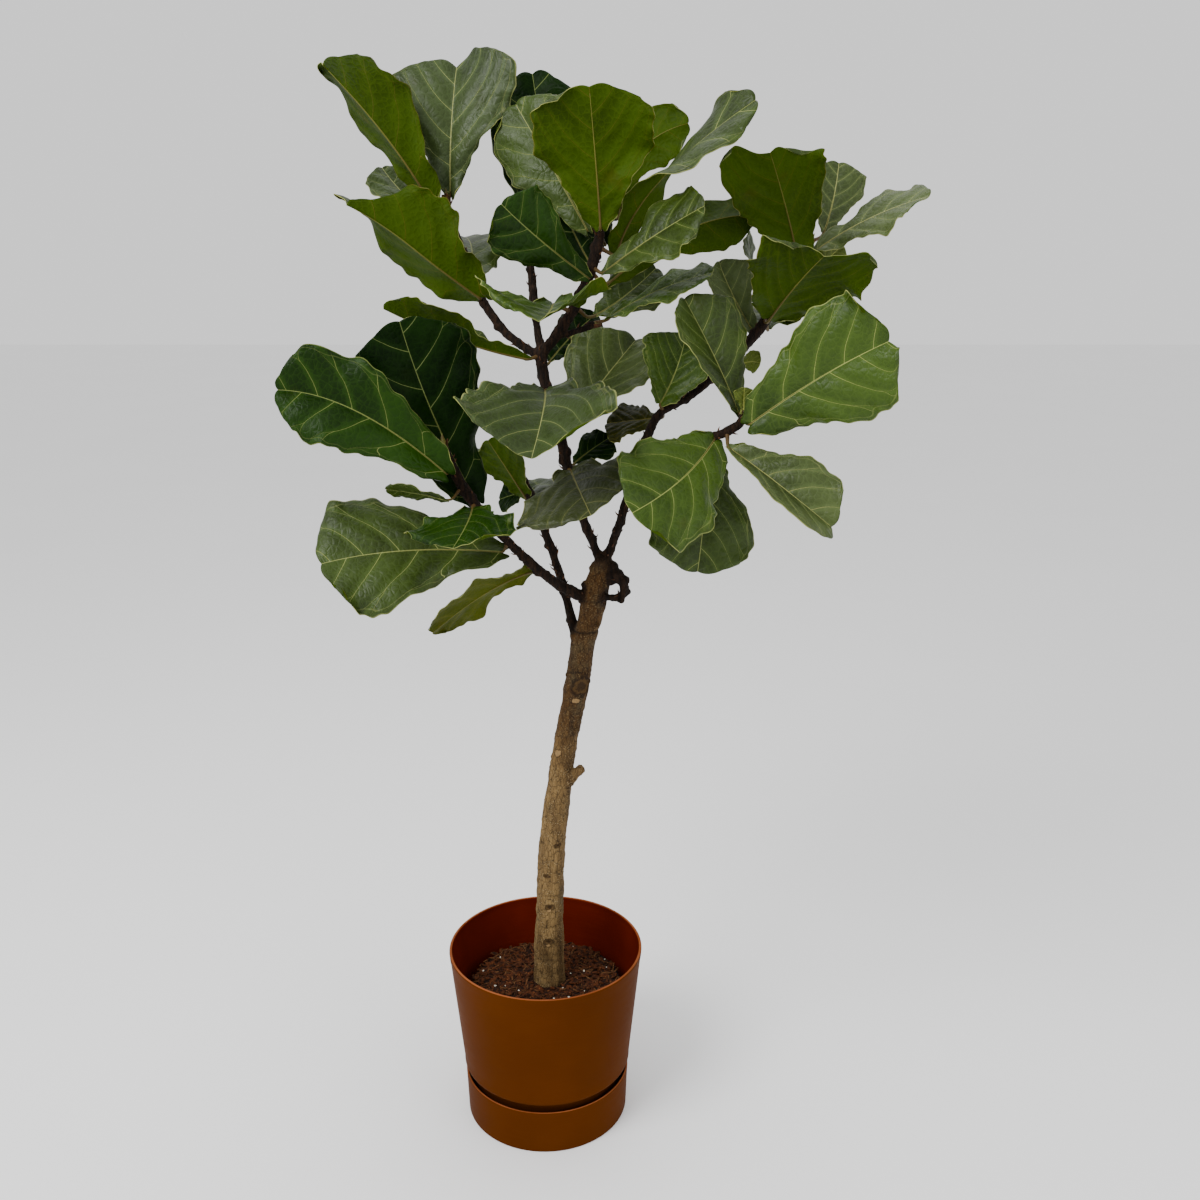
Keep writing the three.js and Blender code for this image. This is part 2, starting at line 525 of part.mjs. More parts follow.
function stalkRings(leaf) {
  const base = new THREE.Vector3(...leaf.base);
  const { point, radius } = nearestOnStem(STEMS[leaf.stem], base);
  const outward = base.clone().sub(point).normalize();
  const start = point.clone().addScaledVector(outward, 0.2 * radius);
  const { along } = midrib(leaf, 0);
  const reach = 0.4 * start.distanceTo(base);
  const leave = start.clone().addScaledVector(outward, reach);
  const arrive = base.clone().addScaledVector(along, -reach);
  const curve = new THREE.CubicBezierCurve3(start, leave, arrive, base);
  const up = unit(leaf.face);
  const blade = new THREE.Vector3().crossVectors(along, up).normalize();
  const slim = Math.min(PETIOLE_RADIUS, leaf.width / 25);
  return STALK_PLACES.map((place) => {
    const way = curve.getTangent(place);
    const side = blade.clone().addScaledVector(way, -blade.dot(way)).normalize();
    const over = new THREE.Vector3().crossVectors(side, way);
    const thick = slim * (place === 0 ? 0.8 : 1);
    return STALK_CORNERS.map(([x, y]) => curve
      .getPoint(place)
      .addScaledVector(side, x * thick)
      .addScaledVector(over, y * thick));
  });
}

// The whole leaf as one closed body, with its stalk cut off just clear of the bark. Both faces of
// the blade are split into the same triangles, so a waved blade never crosses itself.
function makeLeaf(row, bark) {
  const leaf = { ...LEAF_DEFAULTS, ...row };
  const { rows, half } = leaf.width > SMALL_LEAF_WIDTH ? LARGE_NET : SMALL_NET;
  const across = [...half.map((v) => -v).reverse(), 0, ...half];
  const cols = across.length - 1;
  const centre = cols / 2;
  const faceSize = rows.length * across.length;
  const vertices = [];
  for (const side of [1, -1]) {
    for (const u of rows) {
      across.forEach((v, j) => {
        const rib = side < 0 && j === centre ? MIDRIB.depth * (1 - MIDRIB.taper * u) : 0;
        const offset = side * BLADE_THICKNESS * 0.5 - rib;
        vertices.push(...bladePoint(leaf, u, v).addScaledVector(bladeNormal(leaf, u, v), offset));
      });
    }
  }
  const top = (i, j) => i * across.length + j;
  const under = (i, j) => faceSize + top(i, j);
  const triangles = [];
  const quad = (a, b, c, d) => triangles.push(a, b, c, a, c, d);
  for (let i = 0; i < rows.length - 1; i += 1) {
    for (let j = 0; j < cols; j += 1) {
      const left = j < centre;
      const corners = [[i, j], [i, j + 1], [i + 1, j + 1], [i + 1, j]];
      const turn = left ? [0, 1, 2, 3] : [1, 2, 3, 0];
      const [a, b, c, d] = turn.map((k) => corners[k]);
      quad(top(...a), top(...b), top(...c), top(...d));
      triangles.push(under(...a), under(...c), under(...b), under(...a), under(...d), under(...c));
    }
    quad(top(i, 0), top(i + 1, 0), under(i + 1, 0), under(i, 0));
    quad(top(i + 1, cols), top(i, cols), under(i, cols), under(i + 1, cols));
  }
  const last = rows.length - 1;
  for (let j = 0; j < cols; j += 1) {
    quad(top(last, j), top(last, j + 1), under(last, j + 1), under(last, j));
    const atStalk = j === centre - 1 || j === centre;
    if (!atStalk) quad(top(0, j + 1), top(0, j), under(0, j), under(0, j + 1));
  }
  const rings = stalkRings(leaf).map((ring) => ring.map((corner) => {
    vertices.push(...corner);
    return vertices.length / 3 - 1;
  }));
  const middle = [centre - 1, centre, centre + 1];
  rings.push([...middle.map((j) => top(0, j)), ...middle.reverse().map((j) => under(0, j))]);
  const sides = STALK_CORNERS.length;
  for (let k = 0; k < rings.length - 1; k += 1) {
    for (let i = 0; i < sides; i += 1) {
      const next = (i + 1) % sides;
      quad(rings[k][i], rings[k][next], rings[k + 1][next], rings[k + 1][i]);
    }
  }
  const [cap] = rings;
  for (let i = 1; i < sides - 1; i += 1) triangles.push(cap[0], cap[i + 1], cap[i]);
  return toManifold(vertices, triangles).subtract(bark);
}

// ---------------------------------------------------------------- the plant

const group = new THREE.Group();
group.add(toMesh('planter', makePlanter(), FINISH.planter));
group.add(toMesh('saucer', makeSaucer(), FINISH.saucer));
group.add(toMesh('nursery_pot', makeNurseryPot(), FINISH.nurseryPot));
group.add(toMesh('soil', makeSoil(trunkHole()), FINISH.soil));
group.add(toMesh('tree', makeTree(), FINISH.wood));
const clearedBark = makeTree(SEAT_GAP);
for (const [name, leaf] of Object.entries(LEAVES)) {
  group.add(toMesh(name, makeLeaf(leaf, clearedBark), FINISH.leaf));
}

export default group;
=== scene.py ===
import math
import random

import bmesh
import bpy
import numpy as np
from bpy.props import FloatProperty, FloatVectorProperty, IntProperty, PointerProperty
from mathutils import Matrix, Vector, geometry, kdtree, noise


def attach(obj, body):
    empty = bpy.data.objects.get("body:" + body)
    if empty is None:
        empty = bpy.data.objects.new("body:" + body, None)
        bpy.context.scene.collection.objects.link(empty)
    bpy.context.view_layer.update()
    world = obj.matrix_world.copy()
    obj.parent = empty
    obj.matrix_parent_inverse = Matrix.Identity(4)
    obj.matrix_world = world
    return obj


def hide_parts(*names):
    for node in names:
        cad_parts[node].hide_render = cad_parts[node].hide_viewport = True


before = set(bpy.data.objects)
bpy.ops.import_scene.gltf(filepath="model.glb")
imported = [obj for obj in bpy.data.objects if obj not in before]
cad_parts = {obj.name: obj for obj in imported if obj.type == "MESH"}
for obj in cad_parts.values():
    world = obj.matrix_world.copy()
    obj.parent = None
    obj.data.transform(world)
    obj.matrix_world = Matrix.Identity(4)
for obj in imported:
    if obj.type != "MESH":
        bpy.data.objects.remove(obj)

bl_info = {
    "name": "Potted fiddle leaf fig",
    "version": (1, 0, 0),
    "blender": (4, 5, 0),
    "location": "View3D > Sidebar > Plant",
    "description": "Dresses the packed plant: pots, soil, bark, buds, leaves and a studio stage",
    "category": "Object",
}

MM = 0.001
TAU = 2 * math.pi

# ---------------------------------------------------------------- measures shared with the solids

# The pots and the soil, in mm: radii, heights above the ground and walls.
POT = {
    "rim": 147.5, "height": 278, "wall": 3.5, "lip": 4.5, "shoulder": 129, "shoulder_z": 96,
    "foot": 117, "foot_z": 82,
}
SAUCER = {"lip": 127, "base": 124.5, "height": 71, "wall": 3, "floor": 4}
NURSERY = {"rim": 113, "base": 92, "rim_z": 211, "wall": 1.6}
SOIL = {"surface_z": 213, "heap": 8}
SEAT_GAP = 0.3

# Each stem is a row of (x, y, z, radius) points in mm.
STEMS = {
    "trunk": (
        (3, 0, 120, 27), (5, 0, 211, 25), (5, 0, 270, 23), (7, 0, 339, 21), (11, 0, 438, 20),
        (20, 0, 520, 19), (30, 0, 591, 18), (37, 0, 635, 17), (46, -3, 680, 17), (53, -6, 724, 17),
        (60, -8, 773, 17), (69, -10, 803, 17), (75, -12, 833, 16), (80, -12, 860, 15),
        (86, -12, 883, 14),
    ),
    "knob": ((80, -12, 866, 11), (87, -12, 884, 14), (90, -12, 896, 9)),
    "left": (
        (61, -12, 838, 8), (45, -25, 849, 8), (12, -45, 876, 7), (-26, -75, 920, 6),
        (-63, -100, 968, 6), (-93, -110, 1014, 7), (-110, -115, 1052, 6), (-115, -116, 1070, 3),
    ),
    "back": (
        (52, -8, 770, 7), (43, 4, 800, 7), (35, 14, 830, 6), (22, 30, 873, 6), (5, 45, 918, 6),
        (-14, 58, 960, 7), (-24, 64, 985, 6), (-28, 66, 1002, 3),
    ),
    "middle": (
        (86, -12, 883, 6), (70, -15, 926, 6), (56, -18, 964, 6), (41, -20, 1019, 7),
        (30, -20, 1067, 8), (17, -18, 1114, 8), (8, -15, 1146, 8), (4, -12, 1180, 8),
    ),
    "middleLeft": (
        (6, -13, 1168, 6), (-20, 0, 1184, 6), (-42, 12, 1199, 6), (-60, 24, 1220, 6),
        (-80, 36, 1250, 6), (-96, 46, 1284, 6), (-112, 56, 1330, 6), (-118, 60, 1352, 5),
        (-121, 61, 1370, 3),
    ),
    "middleStub": ((5, -12, 1172, 5), (0, 4, 1204, 5), (-5, 14, 1250, 6), (-9, 18, 1292, 5)),
    "middleRight": (
        (5, -13, 1174, 7), (25, -15, 1197, 7), (44, -18, 1225, 7), (60, -20, 1254, 7),
        (72, -20, 1284, 7), (80, -16, 1310, 7), (83, -12, 1330, 6), (84, -11, 1350, 3),
    ),
    "middleSpur": ((25, -15, 1197, 5), (52, -4, 1203, 4), (76, 4, 1212, 5)),
    "right": (
        (89, -12, 883, 6), (100, -20, 915, 6), (111, -30, 950, 6), (120, -35, 984, 6),
        (133, -30, 1028, 6), (148, -20, 1067, 6), (166, -5, 1096, 6), (209, 15, 1118, 6),
        (266, 40, 1165, 6), (306, 58, 1206, 7), (340, 70, 1262, 7), (362, 76, 1298, 6),
        (370, 78, 1315, 3),
    ),
    "rightFront": (
        (133, -30, 1030, 5), (163, -52, 1053, 5), (201, -74, 1065, 5), (240, -90, 1080, 6),
        (262, -98, 1094, 6), (265, -98, 1108, 3),
    ),
    "deadStub": (
        (72, -14, 838, 6), (92, -22, 840, 5), (112, -24, 842, 5), (118, -24, 856, 6),
        (110, -24, 868, 7), (102, -22, 874, 5),
    ),
    "cutStub": ((26, 0, 535, 9), (42, -9, 560, 8), (57, -16, 580, 7.5)),
}

# Half width of a blade along its length, as a share of the widest half.
FIDDLE = (
    (0, 0.14), (0.07, 0.3), (0.16, 0.37), (0.25, 0.44), (0.35, 0.58), (0.47, 0.79), (0.59, 0.94),
    (0.73, 1), (0.86, 0.96), (0.95, 0.78), (1, 0.52),
)
WAIST_END = 0.65
LOBE_DEPTH = 0.05
BLUNT_DEPTH = 0.11
HOOK_START = 0.55
RIGHT_EDGE_LATE = 1.9
WAVE_WIDTH = 175
PETIOLE_RADIUS = 2.4

LEAF_DEFAULTS = {
    "left": (14, -30), "right": (14, -30), "furl": 0, "wave": 7, "beats": 2.3, "late": 0, "waist": 1,
    "taper": 0, "notch": 0.04, "hook": 0,
}

# The leaves on each stem by number, with the same measures as the solids, in mm and degrees: base,
# middle and tip of the midrib, width, where the upper side faces, and what differs from the defaults.
LEAVES = {
    "middleLeft": {
        1: ((-138, 32, 1362), (-194, 12, 1450), (-268, -15, 1535), 145, (0.34, 0.91, 0.26),
            {"left": (60, -20), "right": (42, -20), "furl": 30}),
        2: ((-117, 66, 1380), (-114, 78, 1466), (-108, 125, 1553), 185, (0.05, -0.95, 0.3),
            {"right": (38, -30), "waist": 0.6, "notch": 0.08}),
        3: ((-79, 20, 1246), (-153, -8, 1304), (-236, -38, 1378), 150, (0.3, 0.8, 0.4),
            {"left": (30, -20), "right": (22, -25), "waist": 1.5, "furl": 55, "hook": -20}),
        4: ((-135, 90, 1338), (-185, 110, 1378), (-220, 130, 1418), 80, (0.3, -0.6, 0.7)),
        51: ((-92, 70, 1262), (-100, 150, 1312), (-125, 235, 1320), 160, (-0.1, 0.5, 0.85)),
    },
    "middleRight": {
        5: ((84, -45, 1338), (78, -60, 1415), (70, -95, 1502), 155, (0.05, 0.9, 0.4)),
        6: ((66, -6, 1334), (22, 15, 1409), (-30, 55, 1495), 120, (-0.45, -0.8, 0.35)),
        7: ((88, 32, 1318), (50, 90, 1422), (38, 140, 1524), 140, (0, -0.9, 0.4)),
        8: ((70, 25, 1290), (20, 120, 1400), (-12, 180, 1552), 145, (-0.1, -0.85, 0.45)),
        9: ((110, 30, 1354), (136, 45, 1430), (204, 40, 1466), 80, (0.2, 0.95, -0.25)),
        10: ((106, -6, 1304), (162, -22, 1395), (282, -60, 1489), 120, (-0.3, 0.85, 0.35),
            {"faceTip": (-0.5, -0.6, 0.6)}),
        11: ((66, -48, 1275), (5, -92, 1324), (-40, -112, 1366), 96, (0.42, -0.9, -0.13)),
        12: ((92, -45, 1282), (152, -75, 1325), (215, -110, 1362), 105, (-0.2, -0.7, 0.7)),
        13: ((100, 32, 1267), (205, 60, 1334), (302, 68, 1350), 84, (0.06, 0.85, -0.52),
            {"left": (30, -20), "right": (30, -20)}),
        14: ((80, 46, 1222), (120, 82, 1246), (165, 112, 1284), 86, (0.2, -0.7, 0.7)),
        33: ((23, -45, 1240), (19, -115, 1232), (10, -185, 1227), 180, (0.02, -0.1, 1),
            {"left": (20, 6), "right": (14, 6), "furl": 12, "wave": 9, "late": 1}),
    },
    "middleSpur": {
        15: ((96, 8, 1220), (162, -15, 1257), (233, -40, 1280), 90, (0, -0.4, 0.9)),
    },
    "right": {
        16: ((349, 48, 1296), (329, 45, 1365), (301, 12, 1432), 120, (-0.21, 0.96, 0.18),
            {"waist": 1.5, "taper": -0.35}),
        17: ((312, 20, 1218), (339, -24, 1264), (368, -66, 1303), 158, (0.1, 0.7, 0.7),
            {"waist": 1.5, "wave": 8}),
        18: ((298, 78, 1193), (264, 80, 1251), (245, 80, 1295), 85, (0.11, -0.99, 0.08),
            {"left": (55, -20), "right": (5, -20)}),
        19: ((394, 105, 1332), (408, 125, 1377), (417, 150, 1425), 84, (0.04, -0.9, 0.43)),
        20: ((378, 64, 1306), (444, 36, 1348), (515, 0, 1375), 108, (-0.57, -0.53, 0.63),
            {"faceTip": (-0.51, -0.18, 0.84)}),
        21: ((384, 110, 1271), (404, 118, 1294), (425, 125, 1313), 47, (0.16, -0.97, 0.19)),
        22: ((312, 112, 1232), (298, 135, 1280), (294, 150, 1335), 60, (0.95, -0.3, 0.1)),
        25: ((165, -12, 1110), (186, 10, 1150), (201, 40, 1196), 112, (0.32, -0.86, 0.39),
            {"left": (8, -20), "right": (50, -20), "waist": 1.3}),
        30: ((270, 15, 1155), (284, 5, 1162), (299, -5, 1161), 31, (-0.57, -0.82, 0.06)),
        31: ((165, 20, 1085), (132, 35, 1079), (90, 50, 1072), 85, (0, -0.5, 0.85)),
        53: ((190, 45, 1120), (190, 130, 1150), (180, 220, 1130), 160, (0, 0.6, 0.8)),
        54: ((320, 100, 1200), (330, 180, 1220), (330, 260, 1190), 150, (0, 0.6, 0.8)),
    },
    "rightFront": {
        23: ((275, -118, 1098), (364, -150, 1165), (442, -185, 1211), 157, (-0.33, -0.94, -0.07),
            {"waist": 1.4, "notch": 0.08}),
        24: ((261, -84, 1107), (229, -75, 1177), (188, -55, 1253), 116, (0.11, -0.96, 0.25),
            {"left": (60, -20), "right": (8, -25)}),
        26: ((265, -108, 1114), (265, -110, 1128), (265, -112, 1143), 26, (0, -0.99, -0.14)),
        27: ((229, -96, 1071), (182, -162, 1032), (117, -235, 1005), 142, (0.51, -0.59, 0.62),
            {"waist": 1.6, "left": (5, -20)}),
        28: ((225, -75, 1045), (221, -90, 980), (211, -110, 895), 140, (0.1, -0.8, 0.55)),
        29: ((252, -112, 1062), (307, -142, 1025), (378, -170, 971), 112, (-0.14, -0.91, 0.39),
            {"left": (5, -15), "right": (72, -20)}),
    },
    "middle": {
        32: ((11, -42, 1129), (12, -130, 1112), (0, -215, 1064), 215, (0, -0.25, 0.97),
            {"left": (20, 6), "right": (18, 6), "furl": 8, "wave": 4}),
        34: ((42, 15, 1077), (86, 42, 1131), (137, 98, 1187), 150, (0.06, -0.82, 0.57),
            {"right": (45, -20)}),
        35: ((-17, -28, 1170), (-105, -45, 1196), (-199, -65, 1239), 80, (0, 0.1, 1),
            {"left": (60, -20), "right": (60, -20)}),
        36: ((16, 55, 1160), (45, 100, 1190), (80, 135, 1218), 70, (0, -0.8, 0.6)),
        38: ((45, -42, 1022), (55, -115, 1015), (74, -190, 991), 185, (-0.4, -0.3, 0.87),
            {"left": (14, -20), "right": (14, -20)}),
        39: ((50, 10, 1025), (72, 25, 1040), (100, 40, 1056), 60, (0, -0.6, 0.8)),
        50: ((5, 32, 1080), (-10, 120, 1090), (-30, 215, 1060), 165, (0, 0.6, 0.8)),
    },
    "back": {
        37: ((-21, 58, 963), (-46, 48, 1006), (-75, 40, 1054), 75, (0.37, 0.85, 0.39)),
        47: ((-22, 78, 968), (-42, 95, 962), (-66, 115, 950), 50, (0, -0.8, 0.6)),
        48: ((-40, 85, 1000), (-110, 140, 1020), (-190, 190, 1000), 150, (0, 0.4, 0.9)),
        49: ((0, 85, 960), (30, 170, 970), (50, 250, 930), 160, (0, 0.6, 0.8)),
    },
    "left": {
        40: ((-113, -138, 1039), (-222, -152, 1120), (-319, -160, 1144), 134, (0.05, -0.8, 0.55),
            {"right": (40, -20), "waist": 1.4, "taper": 0.25}),
        41: ((-82, -82, 994), (-133, -98, 1114), (-167, -115, 1233), 172, (0.2, -0.85, 0.5),
            {"waist": 1.2}),
        42: ((-123, -117, 1063), (-140, -121, 1080), (-161, -126, 1101), 27, (0.27, -0.96, 0.04)),
        43: ((-49, -88, 922), (-175, -130, 934), (-280, -160, 922), 175, (0, -0.75, 0.65)),
        44: ((-81, -124, 987), (-83, -180, 979), (-94, -245, 964), 142, (0.12, -0.25, 0.95),
            {"left": (26, -10), "right": (4, -25), "wave": 6}),
        45: ((-113, -128, 1001), (-149, -126, 1009), (-193, -122, 1014), 44, (-0.17, -0.59, -0.79)),
        46: ((-3, -43, 885), (-69, -75, 863), (-145, -105, 811), 108, (-0.47, 0.55, 0.69)),
    },
    "middleStub": {
        52: ((-8, 50, 1295), (10, 120, 1325), (20, 205, 1340), 160, (0, -0.3, 0.95)),
    },
}

# ---------------------------------------------------------------- measures of the looks

# Upper sides of the blades: dark, light, near the veins, veins and warm patches, in red, green and
# blue from 0 to 255. Grown leaves are the rule, and TONES lists the others. Young and fading leaves
# have their own colours. The other rows are the grown green with light and shade painted in: deep
# and shaded hold painted shade, lit holds painted light, pale holds painted light and sheen, and grey
# and the row of leaves 2, 4 and 32 hold a painted grey sheen of reflected light.
UPPER_SIDES = {
    "grown": ((32, 44, 8), (49, 65, 16), (65, 83, 30), (142, 148, 84), (52, 58, 12)),
    "deep": ((2, 17, 0), (9, 30, 0), (20, 43, 5), (108, 120, 66), (16, 28, 0)),
    "shaded": ((12, 33, 0), (25, 51, 2), (38, 65, 9), (118, 128, 68), (32, 46, 2)),
    "lit": ((36, 56, 6), (52, 74, 12), (72, 94, 28), (152, 160, 88), (58, 68, 10)),
    "dusty": ((33, 44, 16), (50, 63, 28), (68, 84, 44), (150, 154, 92), (50, 56, 20)),
    "pale": ((48, 60, 24), (68, 81, 38), (86, 101, 54), (160, 162, 98), (66, 72, 28)),
    "grey": ((38, 44, 20), (54, 62, 30), (68, 76, 40), (136, 134, 76), (52, 54, 22)),
    "young": ((58, 70, 10), (78, 92, 20), (92, 104, 32), (140, 144, 70), (82, 80, 16)),
    "fading": ((28, 34, 1), (52, 54, 2), (70, 68, 8), (120, 112, 36), (104, 84, 4)),
}
# The leaves of each row. Apart from young and fading, the rows are painted light, shade and sheen.
TONES = {
    "deep": (7, 8, 36, 39, 41, 42, 47), "shaded": (11, 40, 44), "lit": (15, 23, 25, 27, 33),
    "dusty": (2, 4, 32), "pale": (18, 19, 20, 29, 34), "grey": (38,), "young": (21, 26, 30),
    "fading": (31,),
}
LEAF_SHINE = 0.2
UNDER_SHINE = 0.08
SHINES = {"deep": 0.05, "shaded": 0.1, "fading": 0.12}
# Undersides in the same five colours, and the leaves that have the more olive one. Their yellow
# olive is partly the undersides' own colour and partly a painted glow of light shining through.
UNDERSIDES = {
    "blade_under": ((36, 54, 0), (50, 72, 2), (62, 82, 8), (92, 88, 24), (64, 62, 4)),
    "blade_under_olive": ((48, 56, 2), (68, 76, 6), (80, 86, 12), (106, 98, 30), (80, 68, 8)),
}
OLIVE_BELOW = (46,)

# Pot plastic: dark, light and dusty tones of the outside, the inside and the lip. The inside is the
# same plastic made redder as painted shade, and the lip is made paler as a painted highlight.
PLASTICS = {
    "planter_outside": ((72, 33, 0), (77, 36, 0), (86, 44, 3)),
    "planter_inside": ((78, 15, 0), (92, 20, 0), (100, 34, 5)),
    "planter_lip": ((112, 58, 28), (138, 78, 44), (150, 92, 60)),
}
# Bark low on the trunk: its dark and light tone.
TRUNK_TONES = ((76, 57, 33), (128, 103, 65))
# What the soil is made of: dark, light and bright tones, and how fine its grain is.
EARTHS = {
    "soil_mix": ((20, 10, 6), (42, 23, 13), (76, 44, 24), 90.0),
    "bark_chip": ((30, 15, 8), (76, 40, 19), (118, 72, 40), 120.0),
    "fibre": ((50, 30, 17), (92, 60, 34), (124, 88, 54), 160.0),
    "perlite": ((176, 168, 152), (206, 200, 186), (226, 222, 212), 300.0),
}

# Laterals on each side of the midrib, and how steeply they leave it and bend on towards the tip.
VEINS = 5
VEIN_SLOPE = 0.55
VEIN_BEND = 1.7
# Half width of a lateral at the midrib, as a share of the space between two, and what it loses by
# the edge. It forks from this share of the way out, by this share of that space.
VEIN_WIDTH = 0.0145
VEIN_TAPER = 0.009
FORK_START = 0.62
FORK_SPREAD = 0.26
# Waves of the blade's edge: height, waves along the blade, and how steeply they grow outwards. The
# first ones are shares of the width, the others are mm up and down.
RAGGED = ((0.035, 3.3, 2), (0.014, 7.7, 4))
FLUTTER = ((3.0, 4.3, 4), (1.5, 9.1, 6), (1.6, 1.4, 1))

# Curled corners of single leaves: side of the midrib, then how far along, outward and up in mm.
CORNERS = {
    1: ((1, 10, 4, -10),), 2: ((1, 12, -8, 14),), 3: ((1, 26, 8, -4), (-1, -28, -12, 0)),
    16: ((1, 46, 8, -4), (-1, -18, -2, -4)), 17: ((-1, 46, 4, -8), (1, -2, 0, 4)),
    20: ((1, -4, 6, 6),), 23: ((1, 6, -22, 0), (-1, -8, 0, 0)), 29: ((1, 16, 2, -10),),
    32: ((-1, 2, 4, 12),), 40: ((-1, 8, 0, -10),), 43: ((1, 4, 0, -8),), 46: ((-1, 6, 0, -8),),
}
CORNER_PLACE = 0.9
CORNER_LENGTH = 0.14
CORNER_WIDTH = 0.4

# The stalk is this thick or, under a narrow leaf, its width by NARROW_LEAF. It flares at the stem. The
# midrib has a ring on every third row of the blade, and its radius falls towards the tip.
NARROW_LEAF = 25
STALK_STEPS = 10
STALK_FLARE = 0.6
RIB_STRIDE = 3
RIB_START = 0.62
RIB_TAPER = 0.5
RIB_DEPTH = 0.45
# Material slots of a leaf after its upper side, of the buds after the bud, of a pot after its outside.
UNDER_SLOT, RIM_SLOT, STALK_SLOT = 1, 2, 3
SHEATH_SLOT = 1
INSIDE_SLOT, LIP_SLOT = 1, 2

# Leaf scars on the trunk in mm: how far up, how far round from the front in degrees, width, height.
SCARS = (
    (708, 20, 30, 32), (353, 0, 17, 13), (296, 0, 17, 12), (655, 60, 12, 7), (455, 25, 13, 8),
    (405, -20, 11, 7), (740, 150, 15, 9), (520, 200, 14, 8), (400, 120, 14, 9), (330, 220, 14, 9),
)
# Pale flat scars, in the same measures.
PALE_SCARS = (
    (602, -32, 14, 10), (686, 5, 13, 8), (590, -110, 13, 8), (348, 0, 10, 4), (290, 0, 11, 4),
)
# Ring scars on the trunk: how far up in mm, how far round and how wide in degrees, and how dark.
RINGS = (
    (789, 0, 360, 1.0), (729, -20, 90, 0.9), (664, 30, 70, 0.5), (628, -30, 80, 0.4),
    (548, 10, 80, 0.5), (476, 20, 90, 0.35), (430, -20, 80, 0.4), (372, 10, 90, 0.4),
    (318, 0, 100, 0.5), (262, -10, 110, 0.5), (640, 180, 120, 0.6), (500, 170, 140, 0.5),
    (360, 190, 120, 0.5), (836, 0, 360, 0.6),
)
# Swellings of the trunk: how far up, how high and how long in mm.
SWELLINGS = ((842, 3.0, 30), (704, 1.2, 16), (560, -0.6, 20))
# Torn lumps round the dead stub and the top of the trunk: x, y, z and radius in mm.
TORN = (
    (118, -26, 866, 8), (108, -22, 874, 9), (121, -22, 848, 6), (99, -20, 862, 7),
    (112, -28, 838, 6), (62, -20, 858, 6), (66, -16, 850, 6), (100, -16, 884, 10),
    (84, -22, 894, 9), (76, -16, 880, 8), (94, -20, 872, 7), (80, -24, 800, 4),
    (45, -14, 782, 4), (38, -12, 722, 4), (52, -18, 640, 4),
)
OLD_STEMS = ("trunk", "knob", "cutStub")
LATE_STEMS = ("rightFront", "middleLeft", "middleRight", "middleStub", "middleSpur", "deadStub")
# A twig's bark has this age at its foot and gets to 0 in so many metres. The trunk's falls from 1 to
# it over so many metres above this height.
TWIG_AGE = 0.4
TWIG_FADE = 0.05
TRUNK_FADE_Z = 0.862
TRUNK_FADE = 0.034
# Knots along a twig: how far up the first one is and how far apart the others are in metres, how far
# round each is from the last in radians, and their size and place as shares of the twig's radius.
KNOT_START = 0.012
KNOT_SPACING = (0.007, 0.015)
KNOT_TURN = 2.4
KNOT_SIZE = (0.55, 0.92)
KNOT_OUT = 0.78

# Stems with a bud at their end, and a bud's outline: share of its length, share of its radius.
BUDS = ("left", "back", "middleLeft", "middleRight", "right", "rightFront", "middleStub", "middleSpur")
BUD_SHAPE = ((0.0, 0.85), (0.15, 1.0), (0.35, 0.95), (0.6, 0.66), (0.85, 0.28), (1.0, 0.06))
# A bud's length as a share of the setting and its bend as a share of its length, and in mm how far it
# is sunk into the twig.
BUD_SIZE = (0.7, 1.0)
BUD_BEND = 0.12
BUD_SUNK = 2
# Sheaths at a bud: how many, how far back and how long in mm, and how far they lean out. Then a
# thorn's length and radii in mm and how far it leans forward.
SHEATHS = (2, 4)
SHEATH_BACK = (2, 14)
SHEATH_LENGTH = (9, 17)
SHEATH_LEAN = (0.15, 0.55)
THORN_LENGTH = (3, 8)
THORN_RADII = (1.5, 0.9, 0.2)
THORN_LEAN = (0.2, 1.4)

# Radius of the planter's rounded shoulder in mm, and how much of a lip's height is its paler top, a
# painted highlight.
SHOULDER_ROUND = 8
LIP_SHARE = 0.2

# Loose pieces on the soil: the setting that counts them, half length in mm from and to, and their
# width and height as shares of it. Their materials follow the soil's in EARTHS in this order.
LITTER = (
    ("chips", 2.5, 8.0, 0.55, 0.3),
    ("fibres", 6.0, 15.0, 0.12, 0.1),
    ("perlite", 1.2, 2.6, 0.8, 0.7),
)
# How far each one is turned, about which axes in turn, how its width and height vary, and how far its
# corners stray, as a share of its width.
LITTER_TURNS = ((0, TAU, "Z"), (-0.7, 0.7, "X"), (-0.4, 0.4, "Y"))
LITTER_SHAPES = (0.6, 1.3)
LITTER_JAGS = 0.14
# In mm: the gap round the soil, where its side ends (inwards from its edge, down from its surface),
# how far down its surface is uneven, its highest place, and the trunk's foot, which is kept free.
SOIL_EDGE = 2.2
SOIL_SIDE = ((0, 14), (1, 6))
SOIL_LOOSE = 8
SOIL_HIGHEST = 16
SOIL_STEPS = 220
SOIL_RINGS = 60
TRUNK_X = 5
TRUNK_CLEARING = 27

# Lights of the studio: place and size in metres, and the setting that holds their power.
LAMPS = {
    "key": ((-1.5, -1.6, 2.9), 1.6, "key_power"),
    "fill": ((1.9, -1.7, 1.5), 1.8, "fill_power"),
    "top": ((0.3, 0.9, 3.1), 2.0, "fill_power"),
}
LAMP_TARGET = (0.08, 0, 1.0)
# The floor's two greys from 0 to 255, its half size and its drop below the saucer in metres, and the
# camera's sensor in mm.
FLOOR_GREYS = (243.445, 246.987)
FLOOR_SIZE = 14
FLOOR_DROP = 0.0005
SENSOR_WIDTH = 36


# ---------------------------------------------------------------- materials


